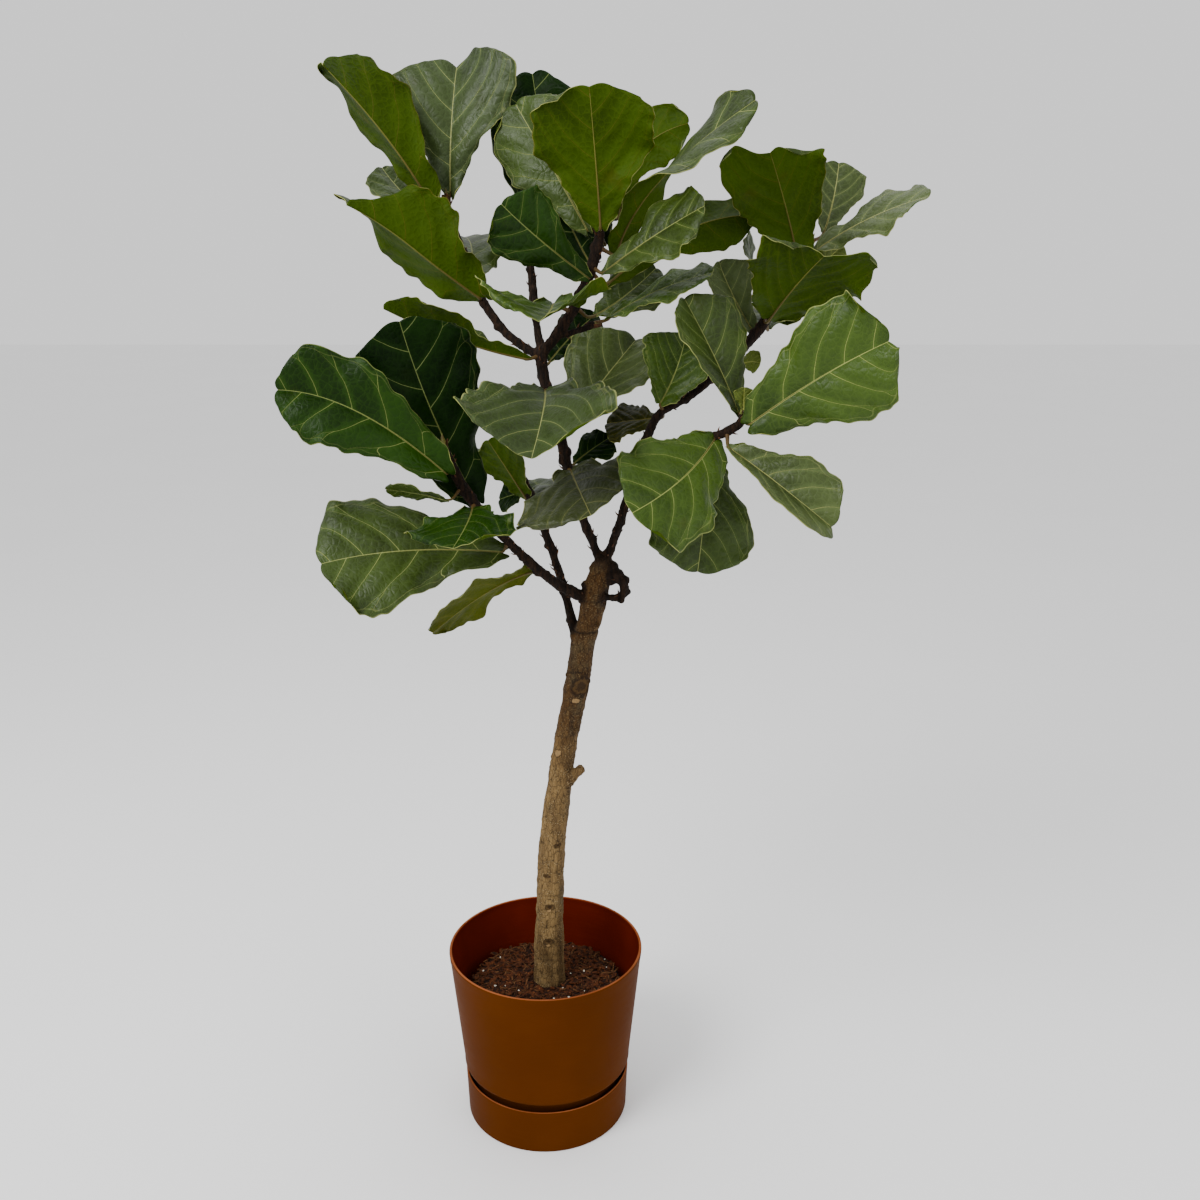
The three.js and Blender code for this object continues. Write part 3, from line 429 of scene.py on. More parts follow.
def colour(red, green, blue):
    """A colour given in 0 to 255, as read off a picture, as the linear values that shaders use."""
    def linear(part):
        part /= 255
        return part / 12.92 if part <= 0.04045 else ((part + 0.055) / 1.055) ** 2.4

    return (linear(red), linear(green), linear(blue), 1.0)


class Shader:
    """A material's node tree. Every input is either a plain value or another node's socket."""

    def __init__(self, name):
        self.material = bpy.data.materials.new(name)
        self.material.use_nodes = True
        self.tree = self.material.node_tree
        self.tree.nodes.clear()

    def node(self, kind, inputs=None, **settings):
        made = self.tree.nodes.new(kind)
        for key, value in settings.items():
            setattr(made, key, value)
        for key, value in (inputs or {}).items():
            if isinstance(value, bpy.types.NodeSocket):
                self.tree.links.new(value, made.inputs[key])
            else:
                made.inputs[key].default_value = value
        return made

    def math(self, operation, *values):
        return self.node("ShaderNodeMath", dict(enumerate(values)), operation=operation).outputs[0]

    def plus(self, a, b):
        return self.math("ADD", a, b)

    def minus(self, a, b):
        return self.math("SUBTRACT", a, b)

    def times(self, a, b):
        return self.math("MULTIPLY", a, b)

    def apart(self, a, b):
        return self.math("ABSOLUTE", self.minus(a, b))

    def mix(self, share, a, b):
        """The colour between a and b: sockets, colour settings, or red, green and blue up to 255."""
        a, b = (colour(*part) if isinstance(part, tuple) else part for part in (a, b))
        return self.node("ShaderNodeMix", {0: share, 6: a, 7: b}, data_type="RGBA").outputs[2]

    def step(self, value, low, high, start=0.0, end=1.0):
        """start below low, end above high, and smooth in between."""
        return self.node(
            "ShaderNodeMapRange",
            {"Value": value, "From Min": low, "From Max": high, "To Min": start, "To Max": end},
            interpolation_type="SMOOTHSTEP",
        ).outputs[0]

    def over(self, base, tint, mask, low, high, share=1.0):
        """base, with so much of tint over it where mask is above high, and none below low."""
        return self.mix(self.step(mask, low, high, 0.0, share), base, tint)

    def place(self, scale=(1, 1, 1)):
        """The object's own coordinates in metres, stretched by scale."""
        own = self.node("ShaderNodeTexCoord").outputs["Object"]
        return self.node("ShaderNodeMapping", {"Vector": own, "Scale": scale}).outputs[0]

    def parts(self, vector):
        return self.node("ShaderNodeSeparateXYZ", {0: vector}).outputs

    def uv(self, layer):
        """The two coordinates of a UV layer."""
        return self.parts(self.node("ShaderNodeUVMap", uv_map=layer).outputs[0])[:2]

    def noise(self, vector, scale, detail=3.0, roughness=0.55):
        inputs = {"Vector": vector, "Scale": scale, "Detail": detail, "Roughness": roughness}
        return self.node("ShaderNodeTexNoise", inputs).outputs["Fac"]

    def cells(self, vector, scale, feature="DISTANCE_TO_EDGE"):
        inputs = {"Vector": vector, "Scale": scale}
        return self.node("ShaderNodeTexVoronoi", inputs, feature=feature).outputs["Distance"]

    def attribute(self, name):
        return self.node("ShaderNodeAttribute", attribute_name=name).outputs["Fac"]

    def bump(self, height, distance, strength=1.0):
        inputs = {"Height": height, "Distance": distance, "Strength": strength}
        return self.node("ShaderNodeBump", inputs).outputs[0]

    def surface(self, colour, roughness, normal, shine=0.5):
        inputs = {"Base Color": colour, "Roughness": roughness, "Specular IOR Level": shine}
        if normal is not None:
            inputs["Normal"] = normal
        return self.node("ShaderNodeBsdfPrincipled", inputs).outputs[0]

    def done(self, shader):
        self.node("ShaderNodeOutputMaterial", {"Surface": shader})
        return self.material

    def coat(self, *looks):
        """The finished material, of one surface with those looks."""
        return self.done(self.surface(*looks))


def vein_masks(s):
    """Where the veins are drawn on a blade: the midrib, the laterals with their forks, and the net.

    UV layer "vein" holds a count that is a whole number on each lateral, and the place between the
    midrib, 0, and the edge, 1 or -1. Layer "blade" holds metres along and across the flat blade.
    """
    count, place = s.uv("vein")
    along, across = s.uv("blade")
    flat = s.node("ShaderNodeCombineXYZ", {0: along, 1: across}).outputs[0]
    out = s.math("ABSOLUTE", place)
    wander = s.times(s.minus(s.noise(flat, 24.0, 2.0), 0.5), 0.3)
    wandered = s.plus(count, s.times(wander, out))
    off = s.apart(wandered, s.math("ROUND", wandered))
    gap = s.apart(off, s.step(out, FORK_START, 1.0, 0.0, FORK_SPREAD))
    width = s.minus(VEIN_WIDTH, s.times(out, VEIN_TAPER))
    lateral = s.step(s.math("DIVIDE", gap, width), 0.3, 1.25, 1.0, 0.0)
    shown = s.times(s.step(count, -0.5, -0.3), s.step(out, 0.86, 0.97, 1.0, 0.0))
    rib_width = s.step(count, 0.0, VEINS, 0.0016, 0.0006)
    rib = s.step(s.math("DIVIDE", s.math("ABSOLUTE", across), rib_width), 0.5, 1.1, 1.0, 0.0)
    swing = s.times(s.math("COSINE", s.times(wandered, TAU)), -0.03)
    loop = s.step(s.apart(out, s.plus(0.9, swing)), 0.003, 0.012, 0.25, 0.0)
    coarse, fine = s.cells(flat, 120.0), s.cells(flat, 420.0)
    return {
        "main": s.math("MAXIMUM", s.math("MAXIMUM", s.times(lateral, shown), rib), loop),
        "ladder": s.step(coarse, 0.015, 0.09, 1.0, 0.0),
        "net": s.step(fine, 0.03, 0.16, 1.0, 0.0),
        "out": out, "off": off, "coarse": coarse, "fine": fine,
    }


def blade_shader(name, palette, upper, shine):
    """A blade's upper or under side. palette: dark, light, near the veins, veins, warm patches."""
    s = Shader(name)
    dark, light, near, vein, warm = palette
    v = vein_masks(s)
    own = s.place()
    base = s.over(dark, light, s.noise(own, 9.0, 2.0), 0.34, 0.66)
    base = s.over(base, near, s.noise(own, 70.0, 4.0, 0.6), 0.45, 0.8, 0.3)
    base = s.mix(s.step(v["off"], 0.02, 0.22, 0.5 if upper else 0.35, 0.0), base, near)
    base = s.mix(s.times(v["ladder"], 0.26 if upper else 0.38), base, near)
    base = s.mix(s.times(v["net"], 0.12 if upper else 0.2), base, near)
    base = s.over(base, warm, s.noise(own, 17.0, 3.0, 0.65), 0.6, 0.76, 0.5)
    base = s.over(base, vein, v["out"], 0.975, 0.995, 0.7)
    base = s.mix(s.times(v["main"], 0.82 if upper else 0.75), base, vein)
    pillow = s.times(s.math("MINIMUM", v["coarse"], 0.32), 1.6)
    grain = s.times(s.math("MINIMUM", v["fine"], 0.25), 0.3)
    height = s.plus(s.plus(pillow, grain), s.times(v["main"], -0.5))
    dimple = s.bump(s.times(height, 1.0 if upper else -1.0), 0.0011, 0.8)
    matt = (0.36, 0.5) if upper else (0.55, 0.68)
    roughness = s.step(s.noise(own, 38.0, 5.0, 0.62), 0.3, 0.75, *matt)
    front = s.surface(base, roughness, dimple, shine)
    glow = s.mix(0.5, base, (96, 112, 2))
    through = s.node("ShaderNodeBsdfTranslucent", {"Color": glow}).outputs[0]
    share = 0.1 if upper else 0.18
    return s.done(s.node("ShaderNodeMixShader", {0: share, 1: front, 2: through}).outputs[0])


def stalk_shader():
    """Leaf stalks and midribs. UV layer "vein" runs from -1 at the stem to 0 at the blade, and on to
    1 at its tip."""
    s = Shader("stalk")
    place, _ = s.uv("vein")
    own = s.place()
    fleck = s.step(s.noise(own, 420.0, 3.0, 0.6), 0.52, 0.7)
    brown = s.mix(fleck, (74, 52, 24), (38, 26, 14))
    olive = s.mix(s.noise(own, 60.0), (66, 52, 20), (88, 78, 26))
    green = s.mix(s.noise(own, 50.0), (82, 82, 22), (104, 104, 34))
    base = s.over(s.over(brown, olive, place, -0.9, -0.1), green, place, 0.1, 0.6)
    base = s.mix(s.times(fleck, 0.3), base, (66, 52, 24))
    ribs = s.noise(s.place((1, 1, 0.12)), 900.0, 2.0)
    return s.coat(base, 0.55, s.bump(ribs, 0.0003, 0.5), 0.2)


def rim_shader():
    """The thin pale edge of a blade."""
    s = Shader("blade_edge")
    fleck = s.noise(s.place(), 90.0, 3.0)
    base = s.over((104, 112, 40), (140, 142, 70), fleck, 0.35, 0.65)
    return s.coat(base, 0.55, s.bump(fleck, 0.0002))


def bark_shader(dark, light):
    """Bark, grey and warty low on the trunk, in those two tones, and brown higher up.

    Attribute "age" is 0 on twigs and 1 on the trunk, "ring" 1 on a ring scar, and "scar" and "pale"
    rise to 1 at the middle of a scar.
    """
    s = Shader("bark")
    own, tall = s.place(), s.place((1, 1, 0.16))
    fibre = s.noise(tall, 240.0, 6.0, 0.66)
    streak = s.noise(tall, 60.0, 4.0, 0.6)
    grit = s.noise(own, 520.0, 5.0, 0.75)
    cloud = s.noise(own, 24.0, 4.0, 0.62)
    crack = s.cells(s.place((1, 1, 0.4)), 200.0)
    torn = s.times(s.minus(s.noise(own, 260.0, 4.0, 0.7), 0.5), 0.8)
    masks = (s.attribute(name) for name in ("scar", "pale"))
    scar, pale = (s.plus(mask, s.times(torn, s.step(mask, 0.0, 0.2))) for mask in masks)
    flake = s.cells(s.place((1, 1, 1.6)), 300.0, "F1")
    wart = s.step(flake, 0.1, 0.36, 1.0, 0.0)
    wart = s.times(wart, s.step(s.noise(own, 60.0, 3.0), 0.42, 0.62))
    low = s.over(dark, light, streak, 0.3, 0.68)
    high = s.over((44, 28, 11), (78, 53, 26), streak, 0.3, 0.68)
    tone = s.step(s.plus(s.parts(own)[2], s.times(cloud, 0.3)), 0.63, 0.84)
    trunk = s.mix(tone, low, high)
    trunk = s.over(trunk, (82, 74, 52), cloud, 0.5, 0.72, 0.45)
    trunk = s.over(trunk, (34, 22, 11), fibre, 0.5, 0.66, 0.75)
    trunk = s.over(trunk, (160, 134, 92), grit, 0.54, 0.7, 0.6)
    trunk = s.mix(s.times(wart, s.step(tone, 0.0, 1.0, 0.75, 0.35)), trunk, (186, 164, 122))
    twig = s.over((14, 8, 5), (42, 28, 18), fibre, 0.38, 0.66)
    twig = s.over(twig, (80, 58, 38), grit, 0.6, 0.74, 0.4)
    base = s.over(twig, trunk, s.attribute("age"), 0.3, 0.9)
    base = s.mix(s.step(crack, 0.0, 0.06, 0.7, 0.0), base, (22, 14, 8))
    base = s.mix(s.times(s.attribute("ring"), 0.85), base, (18, 11, 6))
    base = s.over(base, (30, 19, 10), scar, 0.1, 0.28, 0.7)
    base = s.over(base, (84, 62, 34), scar, 0.4, 0.55, 0.6)
    base = s.over(base, (34, 22, 12), scar, 0.68, 0.8, 0.7)
    base = s.over(base, (40, 26, 14), pale, 0.06, 0.16, 0.7)
    base = s.over(base, s.mix(grit, (98, 72, 42), (168, 138, 94)), pale, 0.22, 0.34, 0.9)
    relief = s.plus(s.times(s.math("MINIMUM", crack, 0.1), 3.0), fibre)
    relief = s.plus(s.plus(relief, s.times(wart, 0.8)), s.times(grit, 0.6))
    return s.coat(base, s.step(streak, 0.3, 0.7, 0.74, 0.92), s.bump(relief, 0.0013), 0.12)


def bud_shader():
    """Green pointed buds, browned in flecks."""
    s = Shader("bud")
    fleck = s.noise(s.place((1, 1, 0.3)), 260.0, 4.0, 0.6)
    base = s.over((98, 104, 40), (72, 58, 24), fleck, 0.4, 0.62)
    base = s.over(base, (96, 60, 28), s.noise(s.place(), 34.0), 0.5, 0.7)
    return s.coat(base, 0.55, s.bump(fleck, 0.0005, 0.6), 0.35)


def sheath_shader():
    """Dry papery sheaths, and the thorn-like stipules that the leaves have shed."""
    s = Shader("sheath")
    fibre = s.noise(s.place((1, 1, 0.15)), 420.0, 4.0, 0.6)
    base = s.over((84, 50, 24), (36, 22, 12), fibre, 0.35, 0.65)
    return s.coat(base, 0.8, s.bump(fibre, 0.0006, 0.8), 0.25)


def planter_shader(name, dark, light, dusty):
    """Satin moulded plastic: a faint turned grain, cloudy shade, fine specks and light scuffs."""
    s = Shader(name)
    own = s.place()
    turned = s.noise(s.place((0.35, 0.35, 9.0)), 60.0, 3.0, 0.6)
    speck = s.noise(own, 900.0, 2.0)
    scuff = s.step(s.noise(s.place((1, 1, 0.3)), 40.0, 5.0, 0.7), 0.66, 0.78)
    base = s.over(dark, light, s.noise(own, 7.0, 3.0), 0.35, 0.68)
    # The third tone is the plastic's dusty one. In the lip's copy all three tones are a painted
    # highlight.
    base = s.over(base, dusty, turned, 0.45, 0.75, 0.16)
    base = s.over(base, dark, speck, 0.6, 0.75, 0.3)
    base = s.mix(s.times(scuff, 0.12), base, dusty)
    rough = s.plus(s.step(turned, 0.3, 0.7, 0.5, 0.58), s.times(scuff, 0.1))
    grain = s.plus(turned, s.times(speck, 0.5))
    return s.coat(base, rough, s.bump(grain, 0.00025, 0.5), 0.02)


def nursery_shader():
    """Thin black pot plastic with soil dust."""
    s = Shader("nursery_plastic")
    own = s.place()
    dust = s.step(s.noise(own, 60.0, 5.0, 0.65), 0.5, 0.72)
    base = s.mix(s.times(dust, 0.6), (10, 9, 8), (42, 29, 19))
    rough = s.step(dust, 0.0, 1.0, 0.45, 0.8)
    return s.coat(base, rough, s.bump(s.noise(own, 700.0, 2.0), 0.0002), 0.15)


def earth_shader(name, dark, light, bright, scale):
    """Soil, bark chips and perlite: three tones in grains, with deep bump."""
    s = Shader(name)
    own = s.place()
    clod = s.noise(own, scale, 6.0, 0.68)
    base = s.over(dark, light, clod, 0.36, 0.62)
    base = s.over(base, bright, s.noise(own, scale * 2.3, 3.0), 0.6, 0.72)
    height = s.plus(clod, s.times(s.cells(own, scale * 3.2, "F1"), -0.5))
    return s.coat(base, 0.92, s.bump(height, 0.12 / scale), 0.12)


def floor_shader():
    """A plain pale studio floor."""
    s = Shader("studio_floor")
    base = s.mix(s.noise(s.place(), 1.5, 2.0), *((grey,) * 3 for grey in FLOOR_GREYS))
    return s.coat(base, 0.9, None, 0.2)


# ---------------------------------------------------------------- meshes


def add_piece(bm, name, materials, nodes=()):
    """Makes an object of the mesh, which rides on the plant and stands for the solids of those names."""
    bmesh.ops.recalc_face_normals(bm, faces=bm.faces)
    mesh = bpy.data.meshes.new(name)
    bm.to_mesh(mesh)
    bm.free()
    mesh.shade_smooth()
    for material in materials:
        mesh.materials.append(material)
    piece = bpy.data.objects.new(name, mesh)
    bpy.context.scene.collection.objects.link(piece)
    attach(piece, "root")
    if nodes:
        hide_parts(*nodes)
    return piece


def smooth(value):
    value = np.clip(value, 0.0, 1.0)
    return value * value * (3 - 2 * value)


def bell(value):
    return np.exp(-np.square(value))


def unit(vectors):
    return vectors / np.linalg.norm(vectors, axis=-1, keepdims=True)


def faces_at(verts):
    return {face for v in verts for face in v.link_faces}


def spin_profile(bm, profile, steps):
    """Turns a profile of (radius, z) points in mm round the Z axis. It starts and ends on the axis."""
    points = [bm.verts.new((r * MM, 0, z * MM)) for r, z in profile]
    line = [bm.edges.new(pair) for pair in zip(points, points[1:])]
    bmesh.ops.spin(
        bm, geom=points + line, cent=(0, 0, 0), axis=(0, 0, 1), angle=TAU, steps=steps, use_merge=True
    )
    bmesh.ops.remove_doubles(bm, verts=bm.verts, dist=1e-6)


def arc(radius, z, size, start, end, steps):
    """Points of a rounding of a profile, from one angle to another in degrees."""
    angles = (math.radians(start + (end - start) * i / steps) for i in range(steps + 1))
    return [(radius + size * math.cos(a), z + size * math.sin(a)) for a in angles]


def between(start, end, steps):
    """Points from start towards end, without end."""
    return [
        tuple(a + (b - a) * i / steps for a, b in zip(start, end)) for i in range(steps)
    ]


def bar(bm, path, radii, sides):
    """A round bar through the points of path, closed at both ends. Returns the rings of its vertices."""
    heading = (path[1] - path[0]).normalized()
    turn = heading.to_track_quat("Z", "Y")
    place = Matrix.LocRotScale(path[0], turn, Vector((radii[0], radii[0], 1)))
    ring = bmesh.ops.create_circle(bm, cap_ends=True, segments=sides, radius=1, matrix=place)["verts"]
    edges = [e for e in {e for v in ring for e in v.link_edges} if all(v in ring for v in e.verts)]
    rings = [ring]
    last = len(path) - 1
    for k in range(1, last + 1):
        onward = (path[min(k + 1, last)] - path[k - 1]).normalized()
        turn = heading.rotation_difference(onward) @ turn
        heading = onward
        moved = Matrix.LocRotScale(path[k], turn, Vector((radii[k], radii[k], 1)))
        grown = bmesh.ops.extrude_edge_only(bm, edges=edges)["geom"]
        ring = [g for g in grown if isinstance(g, bmesh.types.BMVert)]
        bmesh.ops.transform(bm, matrix=moved @ place.inverted(), verts=ring)
        inside = set(ring)
        edges = [g for g in grown if isinstance(g, bmesh.types.BMEdge) and set(g.verts) <= inside]
        place = moved
        rings.append(ring)
    bmesh.ops.contextual_create(bm, geom=edges)
    return rings


def smooth_path(points, spacing):
    """Points along a curve through (x, y, z, radius) rows in mm, with the radius at each, in metres."""
    rows = [Vector(p) * MM for p in points]
    rows = [rows[0] * 2 - rows[1]] + rows + [rows[-1] * 2 - rows[-2]]
    path = []
    for a, b, c, d in zip(rows, rows[1:], rows[2:], rows[3:]):
        steps = max(1, round((c.xyz - b.xyz).length / spacing))
        for i in range(steps):
            t = i / steps
            spot = b * 2 + (c - a) * t + (a * 2 - b * 5 + c * 4 - d) * t**2
            spot += (b * 3 - a - c * 3 + d) * t**3
            path.append(spot * 0.5)
    path.append(rows[-2])
    return path


def sideways_from(heading, turn):
    """A direction square to heading, turned about it."""
    across = heading.orthogonal().normalized()
    across.rotate(Matrix.Rotation(turn, 3, heading))
    return across


# ---------------------------------------------------------------- leaves


def leaf_rows():
    """Every leaf's measures by name, by its number."""
    rows = {}
    for stem, leaves in LEAVES.items():
        for number, (base, mid, tip, width, face, *own) in leaves.items():
            rows[number] = {**LEAF_DEFAULTS, "stem": stem, "width": width, "face": face, "faceTip": face}
            rows[number].update(base=base, mid=mid, tip=tip)
            for changes in own:
                rows[number].update(changes)
    return dict(sorted(rows.items()))


def fiddle(u, waist, taper):
    """Half width of a blade at a share of its length, as a share of the widest half."""
    places, halves = (np.array(part, float) for part in zip(*FIDDLE))
    k = np.clip(np.searchsorted(places, u), 1, len(places) - 1)
    share = smooth((u - places[k - 1]) / (places[k] - places[k - 1]))
    width = halves[k - 1] + (halves[k] - halves[k - 1]) * share
    return width * (waist + (1 - waist) * np.minimum(u / WAIST_END, 1)) * (1 - taper * u**3)


def blade(number, leaf, rows, columns, relief, dice):
    """The blade's middle surface as a net of points, with its normals and its flat coordinates.

    "vein" counts the laterals along the midrib at which the one through each point begins.
    """
    u, v = np.meshgrid(np.linspace(0, 1, rows + 1), np.linspace(-1, 1, columns + 1), indexing="ij")
    out = np.abs(v)
    base, mid, tip = (np.array(leaf[key], float) * MM for key in ("base", "mid", "tip"))
    w = u[..., None]
    point = base * (1 - w) * (1 - 2 * w) + mid * 4 * w * (1 - w) + tip * w * (2 * w - 1)
    along = unit(base * (4 * w - 3) + mid * (4 - 8 * w) + tip * (4 * w - 1))
    face, face_tip = (unit(np.array(leaf[key], float)) for key in ("face", "faceTip"))
    up = face + (face_tip - face) * w
    up = unit(up - along * (up * along).sum(-1, keepdims=True))
    length = np.linalg.norm(tip - base)
    left = v < 0

    def wavy(height, beats, power):
        """A wave along the edge that fades towards the midrib, of its own phase on each side."""
        phase = np.where(left, dice.uniform(0, TAU), dice.uniform(0, TAU))
        return height * out**power * np.sin(TAU * beats * u + phase)

    # The blade is as wide as a fiddle, and each half lifts and curls away from the midrib.
    ragged = 1 + sum(wavy(*row) for row in RAGGED)
    span = fiddle(u, leaf["waist"], leaf["taper"]) * ragged * leaf["width"] / 2 * MM
    lift, curl = (np.radians(np.where(left, leaf["left"][k], leaf["right"][k])) for k in (0, 1))
    start = lift + np.radians(leaf["furl"]) * u * u
    sideways = np.sign(v) * span / curl * (np.sin(start + curl * out) - np.sin(start))
    rise = span / curl * (np.cos(start) - np.cos(start + curl * out))

    # The foot has lobes and the tip is blunt, and the laterals bend with them.
    lobes = -LOBE_DEPTH * np.sin(np.pi * out) * (1 - u) ** 4
    blunt = -BLUNT_DEPTH * out**2 * u**5 - leaf["notch"] * (1 - out) ** 2 * u**8
    far = out * span / length
    vein = VEINS * (u + lobes + blunt - VEIN_SLOPE * far - VEIN_BEND * far**2)
    forward = length * (lobes + blunt)

    # The surface waves at the edge, hooks at the tip and swells between the laterals.
    late = leaf["late"] + np.where(left, 0, RIGHT_EDGE_LATE)
    ripple = leaf["wave"] * out**2 * np.sin(TAU * leaf["beats"] * u + late)
    hook = leaf["hook"] * np.maximum(0, (u - HOOK_START) / (1 - HOOK_START)) ** 2
    pillow = np.sin(np.pi * (vein + np.where(left, 0, 0.5))) ** 2 * smooth(out / 0.3) * (1 - out**4)
    flutter = ripple + sum(wavy(*row) for row in FLUTTER)
    lifted = rise + hook * MM + (flutter * MM + pillow * relief) * leaf["width"] / WAVE_WIDTH
    for corner, onward, outward, upward in CORNERS.get(number, ()):
        near = bell((u - 1) / CORNER_LENGTH) * bell((v - CORNER_PLACE * corner) / CORNER_WIDTH) * MM
        forward = forward + onward * near
        sideways = sideways + corner * outward * near
        lifted = lifted + upward * near
    for way, move in ((np.cross(along, up), sideways), (along, forward), (up, lifted)):
        point = point + way * move[..., None]
    normal = unit(np.cross(np.gradient(point, axis=1), np.gradient(point, axis=0)))
    return {
        "point": point, "normal": normal, "vein": vein, "u": u, "v": v, "span": span, "length": length,
    }


def nearest_on_stem(stem, target):
    """The nearest point of a stem's axis, and the stem's radius there."""
    found = []
    for a, b in zip(stem, stem[1:]):
        start, end = Vector(a[:3]) * MM, Vector(b[:3]) * MM
        _, share = geometry.intersect_point_line(target, start, end)
        share = min(max(share, 0), 1)
        spot = start.lerp(end, share)
        found.append(((spot - target).length, spot, (a[3] + (b[3] - a[3]) * share) * MM))
    return min(found, key=lambda row: row[0])[1:]


def stalk_path(leaf, net):
    """The stalk and the midrib under the blade: rows of a point, a radius and a place from -1 to 1."""
    base = Vector(leaf["base"]) * MM
    spot, radius = nearest_on_stem(STEMS[leaf["stem"]], base)
    outward = (base - spot).normalized()
    start = spot + outward * 0.5 * radius
    column = net["point"].shape[1] // 2
    rib = [Vector(p) for p in net["point"][:, column]]
    down = [-Vector(n) for n in net["normal"][:, column]]
    heading = (rib[1] - rib[0]).normalized()
    reach = 0.4 * (base - start).length
    thick = min(PETIOLE_RADIUS, leaf["width"] / NARROW_LEAF) * MM
    ends = start, start + outward * reach, base - heading * reach, base
    rows = []
    for i, point in enumerate(geometry.interpolate_bezier(*ends, STALK_STEPS)[:-1]):
        share = i / (STALK_STEPS - 1)
        flare = 0.9 + STALK_FLARE * (1 - share) ** 3
        rows.append((point + down[0] * 0.4 * thick * share, thick * flare, share - 1))
    last = len(rib) - 1
    for i in range(0, last - 1, RIB_STRIDE):
        share = i / last
        slim = thick * (RIB_START - RIB_TAPER * share)
        rows.append((rib[i] + down[i] * slim * RIB_DEPTH, slim, share))
    return rows


def build_leaf(number, leaf, settings, materials, dice):
    """One leaf: its blade with two sides and a rim, and its stalk with the midrib."""
    rows, columns = settings.rows, settings.columns
    if leaf["width"] < settings.small_width / MM:
        rows, columns = rows * 2 // 3, columns * 2 // 3
    net = blade(number, leaf, rows, columns, settings.relief, dice)
    bm = bmesh.new()
    vein, flat = bm.loops.layers.uv.new("vein"), bm.loops.layers.uv.new("blade")
    upper = bmesh.ops.create_grid(bm, x_segments=columns, y_segments=rows, size=0.5)["verts"]
    index = {v: (round((v.co.y + 0.5) * rows), round((v.co.x + 0.5) * columns)) for v in upper}
    for face in bm.faces:
        right = face.calc_center_median().x > 0
        for loop in face.loops:
            at = index[loop.vert]
            loop[vein].uv = (net["vein"][at] + (0.5 if right else 0), net["v"][at])
            loop[flat].uv = (net["u"][at] * net["length"], net["v"][at] * net["span"][at])
    copied = bmesh.ops.duplicate(bm, geom=list(bm.faces) + list(bm.edges) + upper)
    half = settings.thickness / 2
    for v in upper:
        at = index[v]
        v.co = Vector(net["point"][at] + net["normal"][at] * half)
        copied["vert_map"][v].co = Vector(net["point"][at] - net["normal"][at] * half)
    under = [g for g in copied["geom"] if isinstance(g, bmesh.types.BMFace)]
    bmesh.ops.reverse_faces(bm, faces=under)
    rim = bmesh.ops.bridge_loops(bm, edges=[e for e in bm.edges if e.is_boundary])["faces"]
    for slot, faces in ((UNDER_SLOT, under), (RIM_SLOT, rim)):
        for face in faces:
            face.material_index = slot
    path, radii, places = zip(*stalk_path(leaf, net))
    rings = bar(bm, path, radii, settings.stalk_sides)
    place_of = {v: place for ring, place in zip(rings, places) for v in ring}
    for face in faces_at(place_of):
        face.material_index = STALK_SLOT
        for loop in face.loops:
            loop[vein].uv = (place_of[loop.vert], 0)
    name = f"leaf_{number:02d}"
    add_piece(bm, f"{name}_blade", materials, (name,))


# ---------------------------------------------------------------- wood


def stem_samples():
    """Points along all stems, each with its radius and its age, from 0 on twigs to 1 on the trunk."""
    samples = []
    wood = [point for name in OLD_STEMS for point in smooth_path(STEMS[name], 4 * MM)]
    for name, stem in STEMS.items():
        walked = 0.0
        path = smooth_path(stem, 4 * MM)
        if name not in OLD_STEMS:
            path = [p for p in path if all((p.xyz - w.xyz).length > w.w + 2 * MM for w in wood)]
        for here, onward in zip(path, path[1:]):
            age = max(0.0, TWIG_AGE - walked / TWIG_FADE * TWIG_AGE)
            if name in OLD_STEMS:
                age = 1 - (1 - TWIG_AGE) * float(smooth((here.z - TRUNK_FADE_Z) / TRUNK_FADE))
            elif name in LATE_STEMS:
                age = 0.0
            samples.append((here.xyz, age))
            walked += (onward.xyz - here.xyz).length
    return samples


def add_ball(bm, spot, turn, size, scale=1):
    """A lump, flatter along its own Z axis."""
    place = Matrix.LocRotScale(spot, turn, Vector((size, size, size * 0.8)) * scale)
    bmesh.ops.create_icosphere(bm, subdivisions=2, radius=1, matrix=place)


def add_knots(bm, path, dice):
    """Raised scars where a stem's leaves were, on alternate sides."""
    spot, turn = KNOT_START, dice.uniform(0, TAU)
    walked = 0.0
    for here, onward in zip(path, path[1:]):
        heading = onward.xyz - here.xyz
        walked += heading.length
        if walked < spot:
            continue
        spot = walked + dice.uniform(*KNOT_SPACING)
        turn += KNOT_TURN
        across = sideways_from(heading, turn)
        size = here.w * dice.uniform(*KNOT_SIZE)
        add_ball(bm, here.xyz + across * here.w * KNOT_OUT, across.to_track_quat("Z", "Y"), size)


